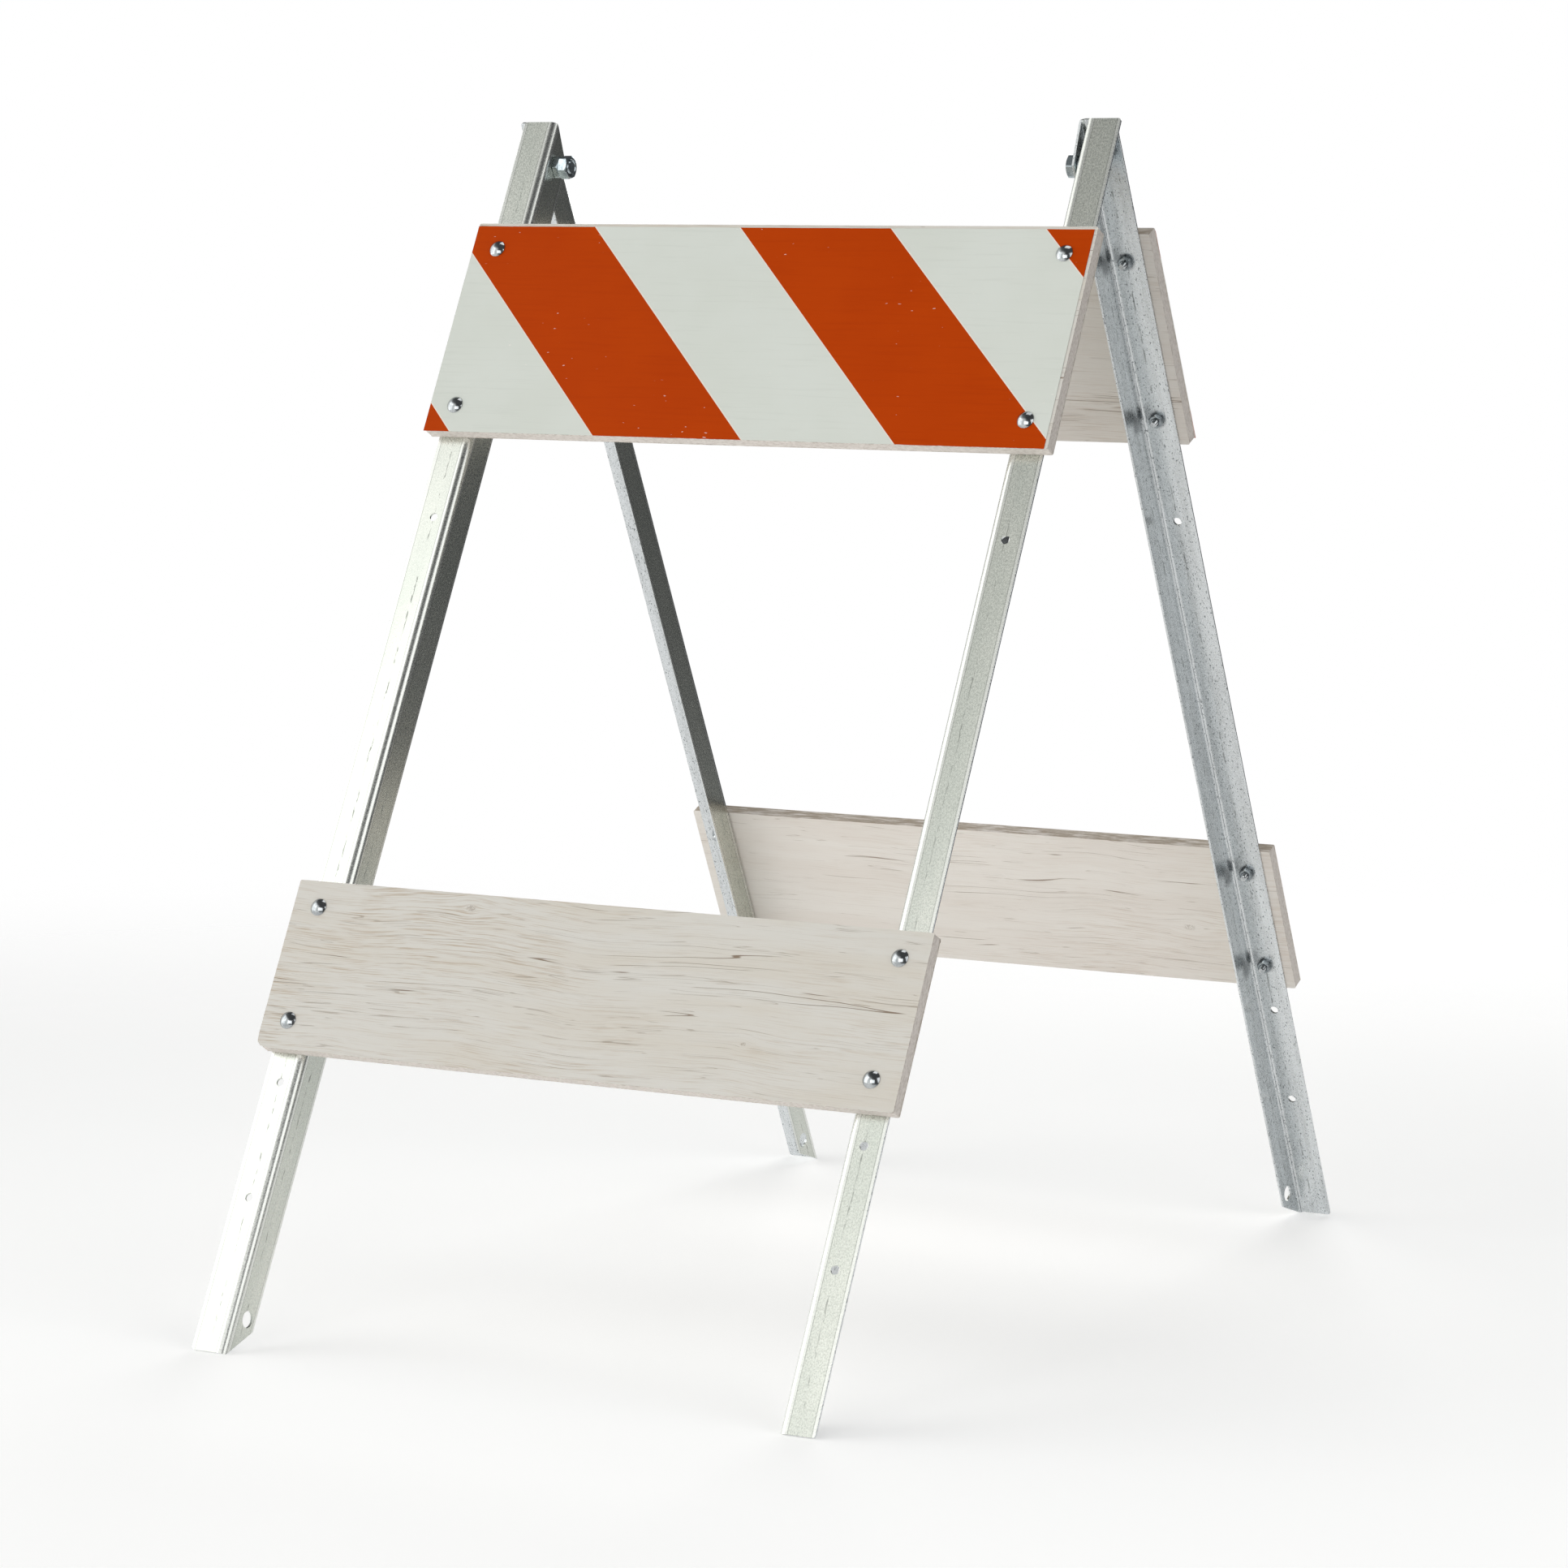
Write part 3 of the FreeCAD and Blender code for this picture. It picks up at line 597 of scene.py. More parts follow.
def angle_outline(flange, wall):
    """The L section: heel at the origin, board flange along +X, side flange along +Y."""
    soft = EDGE_ROUND
    points = arc(BEND_RADIUS, BEND_RADIUS, BEND_RADIUS, 180, 270, BEND_STEPS)
    points += [(BEND_RADIUS + 1.5 * MM, ROLL_DEPTH), (flange - 3.0 * MM, ROLL_DEPTH)]
    points += arc(flange - soft, soft, soft, 270, 360, 3)
    points += arc(flange - soft, wall - soft, soft, 0, 90, 3)
    inner = BEND_RADIUS - wall
    points += arc(BEND_RADIUS, BEND_RADIUS, inner, 270, 180, BEND_STEPS)
    points += arc(wall - soft, flange - soft, soft, 0, 90, 3)
    points += arc(soft, flange - soft, soft, 90, 180, 3)
    return points


def add_leg(node):
    """A formed angle leg in its own axes: the heel is the Z line, the foot is at Z = 0."""
    kind = frame_of(node)
    low, high = local_box(node, PLACES[kind])
    side = 1 if low.x > 0 else -1
    heel_x = low.x if side > 0 else high.x
    flange = high.x - low.x
    length = high.z - low.z
    foot_hole = mounts[node.replace("_leg", "_foot_hole")]
    wall = foot_hole["dims"]["length_mm"] * MM
    place = PLACES[kind] @ Matrix.Translation((heel_x, low.y, low.z))
    back = place.inverted()

    builder = bmesh.new()
    outline = angle_outline(flange, wall)
    rings = []
    count = max(2, round(length / SECTION_STEP))
    for index in range(count + 1):
        height = length * index / count
        points = [(side * x, y, height) for x, y in outline]
        rings.append(ring_of(builder, points))
    for first, second in zip(rings, rings[1:]):
        bridge(builder, first, second)
    builder.faces.new(rings[0])
    builder.faces.new(rings[-1])
    leg = finish_mesh(node + "_formed", builder)

    cutter = bmesh.new()
    for name, mount in mounts.items():
        if mount["kind"] != "bore" or not name.startswith(node.replace("_leg", "_")):
            continue
        cut_hole(cutter, back @ Vector(mount["pos_m"]), back.to_3x3() @ Vector(mount["axis"]),
                 mount["dims"]["r_mm"] * MM)
    bolts = bolts_through(place, kind, hand=node.split("_")[1])
    for bolt in bolts:
        cut_hole(cutter, bolt, Vector((0, 1, 0)), BOLT_HOLE / 2)
    joint = back @ pivot
    cut_hole(cutter, Vector((0, joint.y, joint.z)), Vector((1, 0, 0)), PIVOT_HOLE / 2)
    for end, inward in ((0.0, 1.0), (length, -1.0)):
        cut_clip(cutter, side, flange, end, inward)
        cut_tip(cutter, side, flange, end, inward)
    cut_away(leg, cutter, "holes_" + node)
    soften(leg, 0.18 * MM)
    seed = {"front_left_leg": 0.0, "front_right_leg": 3.1}.get(node, 7.7 + side)
    settle(leg, place, BODIES[kind], node,
           galvanised_steel("steel_" + node, side, flange, bolts, seed))


def bolts_through(place, kind, level=None, hand=None):
    """Where the carriage bolts pass through a piece, in the piece's own axes."""
    centres = []
    for node in nodes:
        words = node.split("_")
        if words[-1] != "nut" or words[0] != kind:
            continue
        if level in (None, words[1]) and hand in (None, words[2]):
            low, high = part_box(node)
            centres.append(place.inverted() @ ((Vector(low) + Vector(high)) / 2))
    return centres


def drill(piece, centres, radius):
    """Cut round holes along Y through a board or its sheeting."""
    cutter = bmesh.new()
    for centre in centres:
        cut_hole(cutter, centre, Vector((0, 1, 0)), radius, 80 * MM)
    cut_away(piece, cutter, "holes_" + piece.name)
    shade_smooth(piece.data, 60)


def cut_hole(cutter, centre, axis, radius, depth=12 * MM):
    turned = axis.to_track_quat("Z", "Y").to_matrix().to_4x4()
    matrix = Matrix.Translation(centre) @ turned
    bmesh.ops.create_cone(cutter, cap_ends=True, segments=HOLE_SEGMENTS, radius1=radius,
                          radius2=radius, depth=depth, matrix=matrix)


def cut_clip(cutter, side, flange, end, inward):
    """A wedge that takes the side flange's corner off at one end."""
    beyond = 4 * MM
    slope = CLIP_LENGTH / (flange - CLIP_START)
    profile = (
        (CLIP_START - beyond, -beyond * slope),
        (flange + beyond, (flange + beyond - CLIP_START) * slope),
        (flange + beyond, -beyond * 3),
        (CLIP_START - beyond, -beyond * 3),
    )
    add_prism(cutter, *(
        [(x, y, end + inward * z) for y, z in profile] for x in (-side * 2 * MM, side * 3.4 * MM)
    ))


def cut_tip(cutter, side, flange, end, inward):
    """Round the board flange's corner at one end."""
    middle = flange - TIP_ROUND
    profile = arc(middle, TIP_ROUND, TIP_ROUND, 270, 360, 6)
    profile += [(flange + MM, TIP_ROUND), (flange + MM, -MM), (middle, -MM)]
    add_prism(cutter, *(
        [(side * x, y, end + inward * z) for x, z in profile] for y in (-MM, 3.5 * MM)
    ))


def cut_away(piece, cutter, name):
    mesh = bpy.data.meshes.new(name)
    bmesh.ops.recalc_face_normals(cutter, faces=cutter.faces)
    cutter.to_mesh(mesh)
    cutter.free()
    tool = bpy.data.objects.new(name, mesh)
    bpy.context.scene.collection.objects.link(tool)
    modifier = piece.modifiers.new("cut", "BOOLEAN")
    modifier.operation = "DIFFERENCE"
    modifier.solver = "EXACT"
    modifier.use_self = True
    modifier.object = tool
    apply_modifiers(piece)
    bpy.data.objects.remove(tool)


def apply_modifiers(piece):
    depsgraph = bpy.context.evaluated_depsgraph_get()
    depsgraph.update()
    solved = bpy.data.meshes.new_from_object(piece.evaluated_get(depsgraph))
    piece.modifiers.clear()
    piece.data = solved


def soften(piece, width):
    """A narrow bevel on the sharp edges, so they catch the light."""
    modifier = piece.modifiers.new("bevel", "BEVEL")
    modifier.width = width
    modifier.segments = 2
    modifier.limit_method = "ANGLE"
    modifier.angle_limit = math.radians(40)
    apply_modifiers(piece)
    shade_smooth(piece.data, 35)


# ---- boards ----

GRID = 8 * MM
CORNER = 2.5 * MM
ARRIS = 0.35 * MM
LAYER_SHARES = (0.0, 0.03, 0.1, 0.2, 0.3, 0.4, 0.5, 0.6, 0.7, 0.8, 0.9, 0.97, 1.0)


def spread(length, step, margin):
    """Positions from 0 to length: close together near both ends, a step apart between."""
    near = [0.0, margin * 0.35, margin, margin * 2.2, margin * 5]
    count = max(1, round((length - 2 * near[-1]) / step))
    middle = [near[-1] + (length - 2 * near[-1]) * i / count for i in range(1, count)]
    return near + middle + [length - value for value in reversed(near)]


def add_board(node, material, seed, broken=0.0):
    """Plywood board: a closed shell with worn corners and uneven sawn edges."""
    kind = frame_of(node)
    low, high = local_box(node, PLACES[kind])
    size = high - low
    place = PLACES[kind] @ Matrix.Translation(((low.x + high.x) / 2, low.y, low.z))
    columns = [x - size.x / 2 for x in spread(size.x, GRID, 0.8 * MM)]
    rows = spread(size.z, GRID, 0.8 * MM)
    layers = [size.y * share for share in LAYER_SHARES]
    board = shell_piece(
        node + "_plywood", columns, layers, rows,
        lambda x, y, z: worn_point(Vector((x, y, z)), size, seed, broken),
    )
    drill(board, bolts_through(place, kind, node.split("_")[1]), BOLT_HOLE / 2)
    settle(board, place, BODIES[kind], node, material)


def shell_piece(name, columns, layers, rows, point_at):
    """A closed box of grid points on its six sides, each placed by point_at."""
    builder = bmesh.new()
    grid = {}
    last = (len(columns) - 1, len(layers) - 1, len(rows) - 1)
    for i, x in enumerate(columns):
        for j, y in enumerate(layers):
            for k, z in enumerate(rows):
                if i in (0, last[0]) or j in (0, last[1]) or k in (0, last[2]):
                    grid[i, j, k] = builder.verts.new(point_at(x, y, z))
    shell_faces(builder, grid, last)
    return finish_mesh(name, builder, 60)


def shell_faces(builder, grid, last):
    """Quads over the six sides of a grid of shell vertices."""
    for axis in range(3):
        first, second = [other for other in range(3) if other != axis]
        for end in (0, last[axis]):
            for a in range(last[first]):
                for b in range(last[second]):
                    corners = []
                    for step_a, step_b in ((0, 0), (1, 0), (1, 1), (0, 1)):
                        key = [0, 0, 0]
                        key[axis] = end
                        key[first] = a + step_a
                        key[second] = b + step_b
                        corners.append(grid[tuple(key)])
                    builder.faces.new(corners)


def worn_point(point, size, seed, broken):
    """Move a shell point inwards by rounding, saw marks and chipped arrises.

    Broken is how far the missing lower left corner reaches along its two edges.
    """
    half_x = size.x / 2
    from_ends = half_x - abs(point.x)
    from_long = min(point.z, size.z - point.z)
    from_faces = min(point.y, size.y - point.y)
    shift = Vector((0, 0, 0))
    around = noise.noise(Vector((point.x * 45 + seed, point.y * 180, point.z * 45)))
    coarse = noise.noise(Vector((point.x * 9 - seed, seed, point.z * 14)))
    chip = max(0.0, noise.noise(Vector((point.x * 120, seed * 3, point.z * 120))) - 0.25)
    inward_x = -math.copysign(1, point.x)
    inward_z = 1 if point.z < size.z / 2 else -1
    inward_y = 1 if point.y < size.y / 2 else -1
    if from_ends < 1e-6:
        ply = noise.noise(Vector((point.y * 420, point.z * 30, seed)))
        shift.x += inward_x * (0.15 * MM * (1 + around) + 0.12 * MM * (1 + ply))
        shift.x += inward_x * 0.35 * MM * (1 + coarse)
        shift.x += inward_x * edge_drop(from_faces, ARRIS * (1 + 2.2 * chip))
    if from_long < 1e-6:
        ply = noise.noise(Vector((point.x * 30, point.y * 420, seed + 5)))
        shift.z += inward_z * (0.10 * MM * (1 + around) + 0.08 * MM * (1 + ply))
        shift.z += inward_z * 0.15 * MM * (1 + coarse)
        shift.z += inward_z * edge_drop(from_faces, ARRIS * (1 + 2.2 * chip))
    if from_faces < 1e-6:
        edge = min(from_ends, from_long)
        shift.y += inward_y * edge_drop(edge, ARRIS * (0.8 + 1.5 * chip))
    corner = math.hypot(max(0.0, CORNER - from_ends), max(0.0, CORNER - from_long))
    worn = max(0.0, corner - CORNER)
    shift.x += inward_x * worn * 0.75
    shift.z += inward_z * worn * 0.75
    missing = broken * (1 + 0.4 * around) - (point.x + half_x) - point.z
    if missing > 0:
        shift.x += missing / 2
        shift.z += missing / 2
    return point + shift


def edge_drop(distance, radius):
    """How far a rounded edge falls away at a distance from the arris."""
    if distance >= radius:
        return 0.0
    left = 1 - distance / radius
    return radius * (1 - math.sqrt(max(0.0, 1 - left * left))) * 0.6


def add_sheeting(node, seed):
    """Striped film over a board's face, with ragged and nicked edges."""
    kind = frame_of(node)
    low, high = local_box(node, PLACES[kind])
    board_low, board_high = local_box(node.replace("sheeting", "top_board"), PLACES[kind])
    length = board_high.x - board_low.x
    height = board_high.z - board_low.z
    middle = (board_low.x + board_high.x) / 2
    place = PLACES[kind] @ Matrix.Translation((middle, low.y, board_low.z))
    left, right = low.x - middle, high.x - middle
    bottom, top = low.z - board_low.z, high.z - board_low.z
    columns = [left + x for x in spread(right - left, GRID, 0.4 * MM)]
    rows = [bottom + z for z in spread(top - bottom, GRID, 0.4 * MM)]
    layers = (0.0, high.y - low.y)

    def ragged_point(x, y, z):
        at_end = x in (columns[0], columns[-1])
        at_side = z in (rows[0], rows[-1])
        ragged = 0.35 * MM * (1 + noise.noise(Vector((x * 60, seed, z * 60))))
        nick = max(0.0, noise.noise(Vector((x * 260, seed, z * 260))) - 0.35) * 3.5 * MM
        point = Vector((x, y, z))
        if at_end:
            point.x += math.copysign(ragged * 0.6 + nick, -x)
        if at_side:
            point.z += (ragged * 0.4 + nick * 0.4) * (1 if z == rows[0] else -1)
        if y == 0 and not at_end and not at_side:
            swell = noise.noise(Vector((x * 16, seed, z * 70)))
            point.y += 0.05 * MM * (1 + swell)
        return point

    film = shell_piece(node + "_film", columns, layers, rows, ragged_point)
    drill(film, bolts_through(place, kind, "top"), BOLT_HOLE / 2 + MM)
    settle(film, place, BODIES[kind], node,
           striped_film("film_" + kind, length, height, seed))


# ---- fasteners ----

BOLT_DIAMETER = 6.35 * MM
BOLT_HEAD_HEIGHT = 3.7 * MM
BOLT_HEAD_RIM = 0.6 * MM
BOLT_NECK = 3.6 * MM
BOLT_THREAD = 13 * MM
BOLT_PITCH = 1.27 * MM
BOLT_NUT_FLATS = 11.1 * MM
PIVOT_DIAMETER = 12.7 * MM
PIVOT_FLATS = 19.05 * MM
PIVOT_HEAD = 7.9 * MM
PIVOT_PITCH = 1.95 * MM
PIVOT_PLAY = 0.1 * MM
HEX_NUT_TURN = math.radians(14)
ROUND_SEGMENTS = 56
HEX_SEGMENTS = 96

def hexagon_radius(angle, flats, corner_soft=0.985):
    """Distance to a hexagon's side at an angle, with its corners a little rounded."""
    folded = (angle + math.pi / 6) % (math.pi / 3) - math.pi / 6
    sharp = flats / 2 / math.cos(folded)
    return min(sharp, flats / math.sqrt(3) * corner_soft)


def hexagon_rings(flats, height, inner_outline, segments=HEX_SEGMENTS):
    """A hexagon with turned-down corners at both ends; inner_outline closes it inside."""
    rise = math.tan(math.radians(30))
    rim = flats * 0.478
    builder = bmesh.new()
    angles = [2 * math.pi * index / segments for index in range(segments)]
    radii = [hexagon_radius(angle, flats) for angle in angles]
    spokes = [(math.cos(angle), math.sin(angle)) for angle in angles]

    def ring(radius_at, height_at):
        return ring_of(builder, [
            (c * radius_at(n), s * radius_at(n), height_at(n)) for n, (c, s) in enumerate(spokes)
        ])

    rings = [
        ring(lambda n: rim, lambda n: 0.0),
        ring(lambda n: radii[n], lambda n: (radii[n] - rim) * rise),
        ring(lambda n: radii[n], lambda n: height - (radii[n] - rim) * rise),
        ring(lambda n: rim, lambda n: height),
    ]
    for first, second in zip(rings, rings[1:]):
        bridge(builder, first, second)
    previous = rings[-1]
    for radius, level in inner_outline:
        following = circle_of(builder, radius, level, segments)
        join_rings(builder, previous, following)
        previous = following
    return builder, rings[0], previous


def nut_piece(name, flats, height, bore):
    """A hexagon nut with countersunk, threaded bore."""
    radius = bore / 2
    sink = 0.09 * bore
    outline = [(radius + sink, height), (radius, height - sink)]
    turns = max(2, round((height - 2 * sink) / (bore * 0.16)))
    for index in range(turns):
        top = height - sink - (height - 2 * sink) * index / turns
        step = (height - 2 * sink) / turns
        outline.append((radius + bore * 0.045, top - step * 0.5))
        outline.append((radius, top - step))
    outline.append((radius + sink, 0.0))
    builder, first, last = hexagon_rings(flats, height, outline)
    bridge(builder, last, first)
    return finish_mesh(name, builder, 25)


def threaded_shank(builder, radius, start, end, pitch, segments):
    """A helical thread from start to end along Z, closed by a chamfered tip."""
    depth = pitch * 0.42
    rows = max(8, round((end - start) / pitch * 5))
    previous = None
    first = None
    for row in range(rows + 1):
        height = start + (end - start) * row / rows
        points = []
        for index in range(segments):
            angle = 2 * math.pi * index / segments
            phase = (height / pitch - index / segments) % 1.0
            groove = depth * (1 - abs(2 * phase - 1))
            tip_left = (end - height) / (radius * 0.18)
            if tip_left <= 1:
                groove = max(groove, depth * (1.6 - tip_left))
            reach = radius - groove
            points.append((reach * math.cos(angle), reach * math.sin(angle), height))
        ring = ring_of(builder, points)
        if previous:
            bridge(builder, previous, ring)
        previous = ring
        first = first or ring
    tip = builder.verts.new((0, 0, end))
    join_rings(builder, previous, [tip])
    return first


def carriage_bolt_piece(name, head_radius, head_height, length, radius):
    """Domed head, square neck and threaded shank; the head's underside is at Z = 0."""
    builder = bmesh.new()
    rise = head_height - BOLT_HEAD_RIM
    ball = (head_radius ** 2 + rise ** 2) / (2 * rise)
    outline = [(0.0, -head_height)]
    steps = 14
    reach = math.asin(head_radius / ball)
    for index in range(1, steps + 1):
        angle = reach * index / steps
        outline.append((ball * math.sin(angle), -head_height + ball * (1 - math.cos(angle))))
    outline += [(head_radius, -BOLT_HEAD_RIM * 0.45), (head_radius * 0.985, -BOLT_HEAD_RIM * 0.12),
                (head_radius * 0.95, 0.0)]
    rings = lathe_rings(builder, outline, ROUND_SEGMENTS)
    corner = radius / math.cos(math.pi / 4) * 0.96

    def square(segment, scale):
        angle = 2 * math.pi * segment / ROUND_SEGMENTS
        folded = (angle + math.pi / 4) % (math.pi / 2) - math.pi / 4
        reach_out = min(radius / math.cos(folded), corner) * scale
        return reach_out * math.cos(angle), reach_out * math.sin(angle)

    previous = rings[-1]
    for height, scale in ((0.0, 1.0), (BOLT_NECK * 0.8, 1.0), (BOLT_NECK, 0.9)):
        points = [(*square(index, scale), height) for index in range(ROUND_SEGMENTS)]
        following = ring_of(builder, points)
        bridge(builder, previous, following)
        previous = following
    plain_end = length - BOLT_THREAD
    for height in (BOLT_NECK + 0.6 * MM, plain_end):
        following = circle_of(builder, radius, height, ROUND_SEGMENTS)
        bridge(builder, previous, following)
        previous = following
    first = threaded_shank(builder, radius, plain_end, length, BOLT_PITCH, ROUND_SEGMENTS)
    bridge(builder, previous, first)
    return finish_mesh(name, builder, 32)


def pivot_bolt_piece(name, flats, head, length, radius):
    """Hexagon head below Z = 0 with a washer face, plain then threaded shank."""
    seat = 0.4 * MM
    outline = [(flats * 0.47, head - 0.35 * MM), (flats * 0.44, head), (radius, head)]
    builder, first, _ = hexagon_rings(flats, head - 0.35 * MM, outline)
    previous = first
    for share, level in ((0.97, 0.0), (0.5, 0.02 * MM), (0.0, 0.03 * MM)):
        following = circle_of(builder, flats * 0.478 * share, level, HEX_SEGMENTS)
        join_rings(builder, previous, following)
        previous = following
    builder.verts.ensure_lookup_table()
    neck = [vertex for vertex in builder.verts
            if abs(vertex.co.z - head) < 1e-7 and abs(vertex.co.xy.length - radius) < 1e-6]
    neck.sort(key=lambda vertex: math.atan2(vertex.co.y, vertex.co.x) % (2 * math.pi))
    plain = ring_of(builder, [(v.co.x, v.co.y, head + length * 0.35) for v in neck])
    bridge(builder, neck, plain)
    thread = threaded_shank(builder, radius, head + length * 0.35 + seat, head + length,
                            PIVOT_PITCH, HEX_SEGMENTS)
    bridge(builder, plain, thread)
    bmesh.ops.translate(builder, verts=builder.verts, vec=(0, 0, -head))
    return finish_mesh(name, builder, 32)


def spacer_piece(name, outer, inner, length):
    builder = bmesh.new()
    soft = 0.5 * MM
    outline = [(inner, soft), (inner + soft, 0), (outer - soft, 0), (outer, soft),
               (outer, length - soft), (outer - soft, length), (inner + soft, length),
               (inner, length - soft)]
    rings = lathe_rings(builder, outline, 64)
    bridge(builder, rings[-1], rings[0])
    return finish_mesh(name, builder, 30)


TO_INSIDE = Matrix.Rotation(-math.pi / 2, 4, "X")
ALONG_X = Matrix.Rotation(math.pi / 2, 4, "Y")


def add_carriage_fastener(node, material, draw):
    """A bolt or nut whose axis is its frame's Y; the CAD box gives its size and place."""
    kind = frame_of(node)
    low, high = local_box(node, PLACES[kind])
    middle = (low + high) / 2
    if node.endswith("_bolt"):
        length = high.y - low.y - BOLT_HEAD_HEIGHT
        piece = carriage_bolt_piece(node + "_turned", (high.x - low.x) / 2, BOLT_HEAD_HEIGHT,
                                    length, BOLT_DIAMETER / 2)
        seat = low.y + BOLT_HEAD_HEIGHT
        turned = draw.uniform(0, 2 * math.pi)
    else:
        piece = nut_piece(node + "_hexagon", BOLT_NUT_FLATS, high.y - low.y, BOLT_DIAMETER)
        seat = low.y
        turned = 0.0
    place = PLACES[kind] @ Matrix.Translation((middle.x, seat, middle.z)) @ TO_INSIDE
    place = place @ Matrix.Rotation(turned, 4, "Z")
    settle(piece, place, BODIES[kind], node, material)


def add_pivot_fastener(node, material):
    """A bolt, spacer or nut on the pivot axis; the CAD box gives its length and place."""
    low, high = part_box(node)
    length = high.x - low.x
    radius = PIVOT_DIAMETER / 2
    start = low.x
    turned = 0.0
    if node.endswith("pivot_bolt"):
        start = low.x + PIVOT_HEAD
        piece = pivot_bolt_piece(node + "_hexagon", PIVOT_FLATS, PIVOT_HEAD,
                                 length - PIVOT_HEAD, radius)
    elif node.endswith("spacer"):
        piece = spacer_piece(node + "_ring", (high.z - low.z) / 2, radius + PIVOT_PLAY, length)
    else:
        piece = nut_piece(node + "_hexagon", PIVOT_FLATS, length, PIVOT_DIAMETER)
        turned = HEX_NUT_TURN if "hex" in node else 0.0
    place = Matrix.Translation((start, pivot.y, pivot.z)) @ ALONG_X
    place = place @ Matrix.Rotation(turned, 4, "Z")
    settle(piece, place, "front_frame", node, material)


# ---- the object ----

BOARD_THICKNESS = 12.7 * MM
GRAIN_SEEDS = {"front_top": 2.0, "front_bottom": 3.3, "rear_top": 5.1, "rear_bottom": 7.4}
KNOTS = {
    "front_bottom": ((-128 * MM, 138 * MM, 3 * MM), (158 * MM, 44 * MM, 1.6 * MM)),
    "rear_bottom": ((-208 * MM, 60 * MM, 3.5 * MM),),
}
woods = {}
for board, seed in GRAIN_SEEDS.items():
    tones = WHITEWASHED if frame_of(board) == "front" else BARE
    woods[board + "_board"] = plywood("wood_" + board, tones, BOARD_THICKNESS, seed,
                                      KNOTS.get(board, ()))
BROKEN_CORNERS = {"front_bottom_board": 6 * MM}
bolt_zinc = zinc_plate("bolt_zinc", rgb(196, 199, 200), rgb(150, 155, 158), 1.0, 0.10, 0.20)
nut_zinc = zinc_plate("nut_zinc", rgb(176, 182, 184), rgb(128, 134, 138), 4.0, 0.12, 0.26)
pivot_zinc = zinc_plate("pivot_zinc", rgb(198, 208, 212), rgb(150, 160, 166), 9.0, 0.16, 0.3)

draw = random.Random(11)
for node in nodes:
    if node.endswith("_leg"):
        add_leg(node)
    elif node.endswith("_board"):
        add_board(node, woods[node], 3.0 if "top" in node else 8.0,
                  BROKEN_CORNERS.get(node, 0.0))
    elif node.endswith("_sheeting"):
        add_sheeting(node, 1.5 if frame_of(node) == "front" else 6.5)
    elif "pivot" in node:
        add_pivot_fastener(node, pivot_zinc)
    else:
        add_carriage_fastener(node, bolt_zinc if node.endswith("_bolt") else nut_zinc, draw)

# ---- stage, light and camera ----

def add_floor():
    material, kit, shader, place = new_material("floor")
    away = kit.add("ShaderNodeVectorMath", {"operation": "LENGTH"}, Vector=place)
    fade = kit.ramp(away.outputs["Value"], 1.3, 2.9)
    shader.inputs["Base Color"].default_value = rgb(243, 243, 242)
    shader.inputs["Roughness"].default_value = 0.9
    shader.inputs["Emission Color"].default_value = (1.0, 1.0, 1.0, 1.0)
    shader.inputs["Emission Strength"].default_value = 0.36
    clear = kit.add("ShaderNodeBsdfTransparent")
    blend = kit.add("ShaderNodeMixShader")
    tree = material.node_tree
    tree.links.new(fade, blend.inputs[0])
    tree.links.new(shader.outputs[0], blend.inputs[1])
    tree.links.new(clear.outputs[0], blend.inputs[2])
    output = next(node for node in tree.nodes if node.type == "OUTPUT_MATERIAL")
    tree.links.new(blend.outputs[0], output.inputs[0])
    builder = bmesh.new()
    bmesh.ops.create_circle(builder, cap_ends=True, segments=96, radius=3.0)
    floor = finish_mesh("floor", builder)
    floor.data.materials.append(material)


def add_world():
    world = bpy.data.worlds.new("studio")
    world.use_nodes = True
    bpy.context.scene.world = world
    kit = Nodes(world.node_tree)
    world.node_tree.nodes.clear()
    direction = kit.add("ShaderNodeTexCoord").outputs["Generated"]
    towards = kit.add("ShaderNodeVectorMath", {"operation": "DOT_PRODUCT"})
    kit.feed(towards.inputs[0], direction)
    towards.inputs[1].default_value = TENT_AXIS
    up = kit.split(direction)[2]
    bright = kit.times(kit.ramp(towards.outputs["Value"], 0.30, 0.70),
                       kit.ramp(up, 0.52, 0.80, 1.0, 0.10))
    tone = kit.mix(bright, WORLD_LOW, WORLD_HIGH)
    seen = kit.add("ShaderNodeLightPath").outputs["Is Camera Ray"]
    background = kit.add("ShaderNodeBackground")
    kit.feed(background.inputs["Color"], kit.mix(seen, tone, (1.0, 1.0, 1.0, 1.0)))
    output = kit.add("ShaderNodeOutputWorld")
    world.node_tree.links.new(background.outputs[0], output.inputs[0])


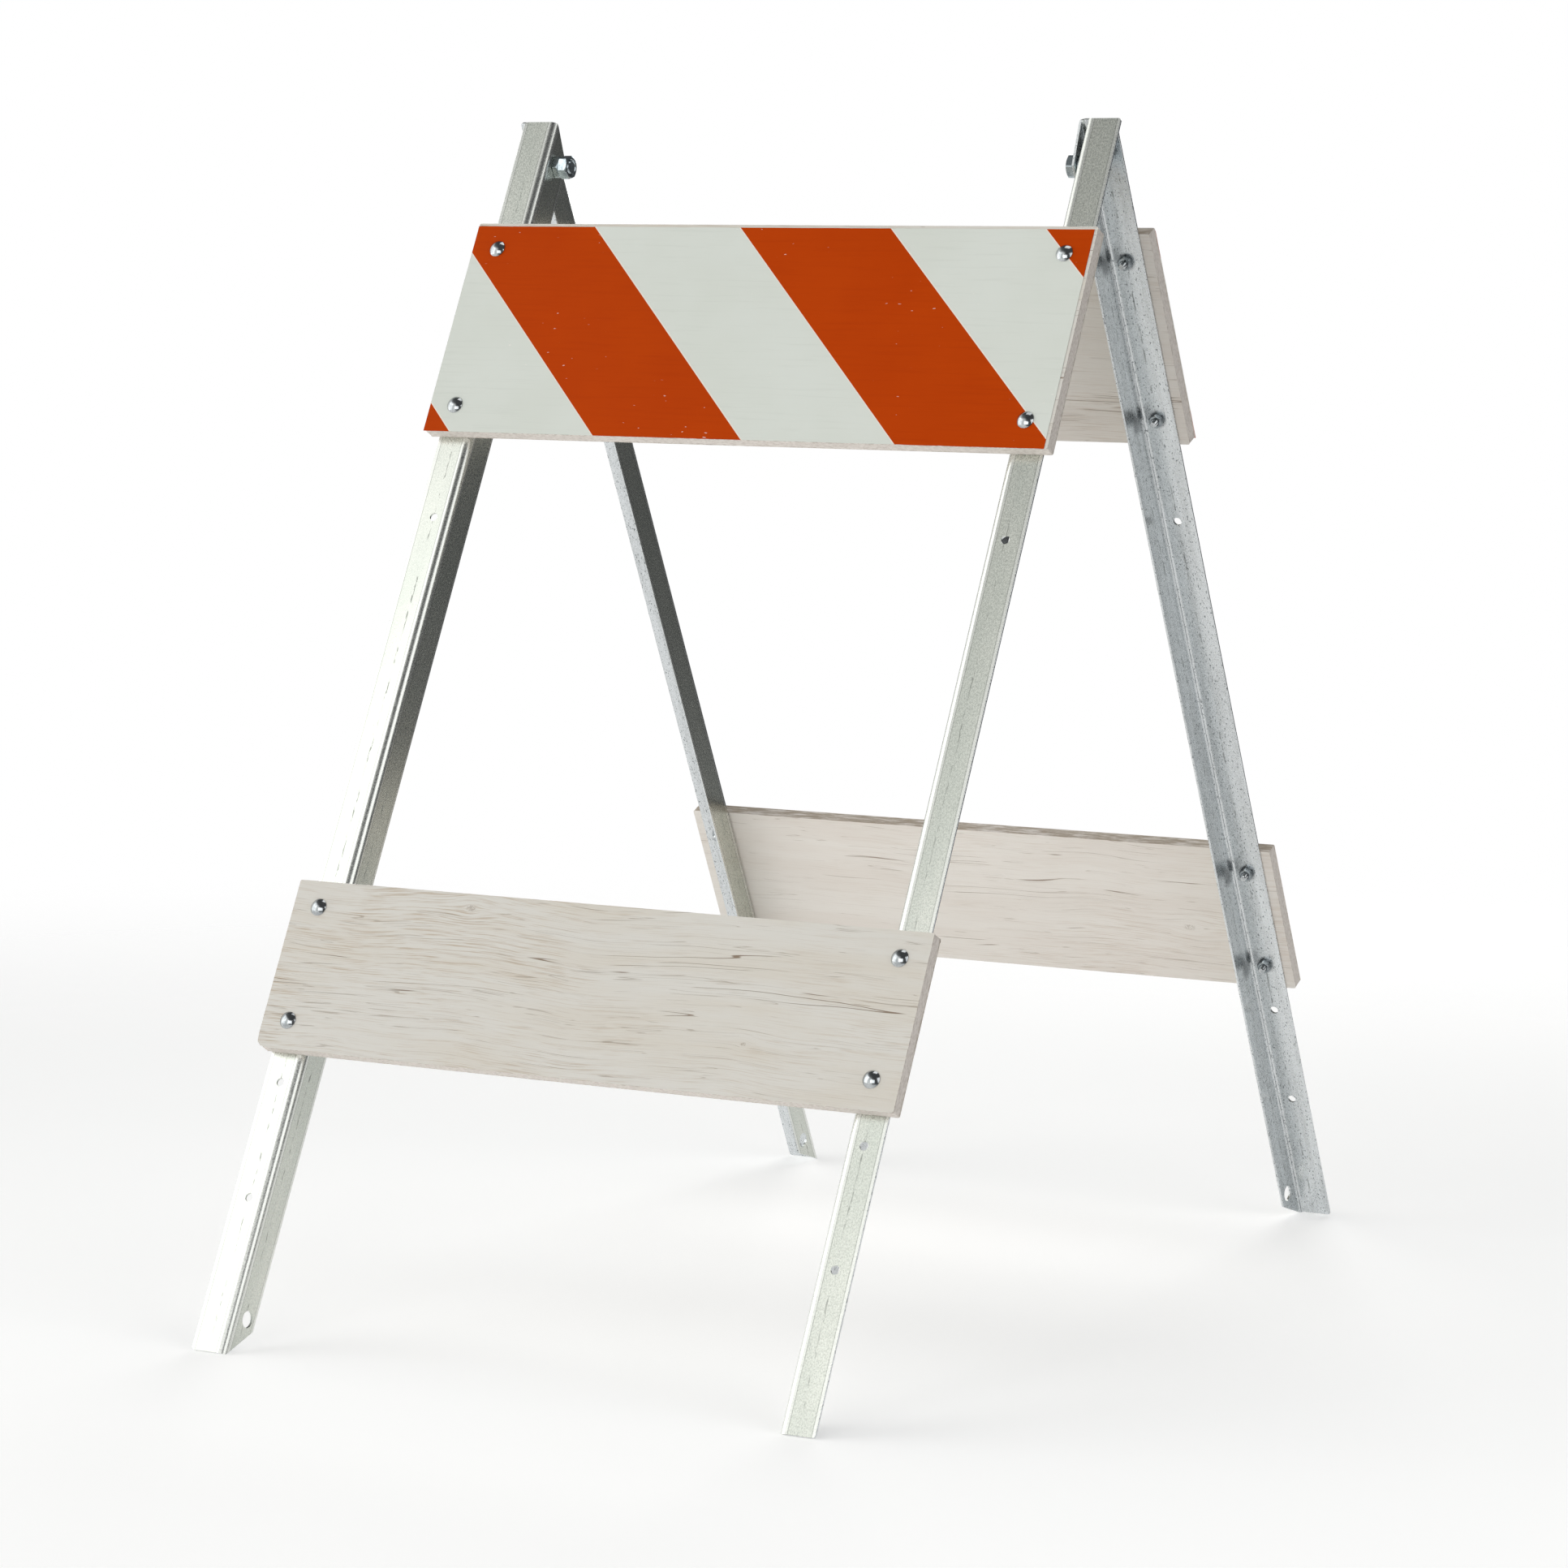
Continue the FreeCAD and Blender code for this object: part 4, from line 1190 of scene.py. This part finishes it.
def add_softbox(name, azimuth, elevation, distance, width, height, power):
    """A soft area light; azimuth 0 is in front of the object, positive to the left."""
    a, e = math.radians(azimuth), math.radians(elevation)
    towards = Vector((-math.sin(a) * math.cos(e), -math.cos(a) * math.cos(e), math.sin(e)))
    light = bpy.data.lights.new(name, "AREA")
    light.shape = "RECTANGLE"
    light.size = width
    light.size_y = height
    light.energy = power
    lamp = bpy.data.objects.new(name, light)
    lamp.location = Vector((0, 0, 0.5)) + towards * distance
    lamp.rotation_mode = "QUATERNION"
    lamp.rotation_quaternion = towards.to_track_quat("Z", "Y")
    lamp.visible_camera = False
    bpy.context.scene.collection.objects.link(lamp)


TENT_AXIS = Vector((-0.866, -0.5, 0.0))
WORLD_LOW = (0.09, 0.092, 0.094, 1.0)
WORLD_HIGH = (1.22, 1.225, 1.20, 1.0)
add_floor()
add_world()
add_softbox("key", 58, 18, 3.4, 2.6, 2.8, 27)
add_softbox("front", -6, 12, 3.8, 2.4, 1.6, 30)
add_softbox("right", -72, 20, 3.6, 3.0, 2.6, 36)
add_softbox("top", 180, 80, 3.2, 1.6, 1.6, 10)
add_softbox("back", 166, 22, 3.8, 2.0, 1.8, 34)

CAMERA_AZIMUTH = math.radians(29.27)
CAMERA_ELEVATION = math.radians(6.23)
CAMERA_ROLL = math.radians(0.46)
CAMERA_DISTANCE = 4.299
CAMERA_LENS = 111.68
SENSOR = 36.0


def add_camera():
    """The camera stands to the right in front, level with the lower edge of the top board."""
    back = Vector((
        math.sin(CAMERA_AZIMUTH) * math.cos(CAMERA_ELEVATION),
        -math.cos(CAMERA_AZIMUTH) * math.cos(CAMERA_ELEVATION),
        math.sin(CAMERA_ELEVATION),
    ))
    target = Vector((-21.6 * MM, 0, 441.9 * MM))
    camera = bpy.data.objects.new("camera", bpy.data.cameras.new("camera"))
    camera.data.lens = CAMERA_LENS
    camera.data.sensor_width = SENSOR
    camera.location = target + back * CAMERA_DISTANCE
    camera.rotation_mode = "QUATERNION"
    looking = (-back).to_track_quat("-Z", "Y")
    camera.rotation_quaternion = looking @ Matrix.Rotation(CAMERA_ROLL, 3, "Z").to_quaternion()
    bpy.context.scene.collection.objects.link(camera)
    bpy.context.scene.camera = camera


add_camera()
bpy.context.scene.view_settings.view_transform = "Standard"

bpy.context.view_layer.update()
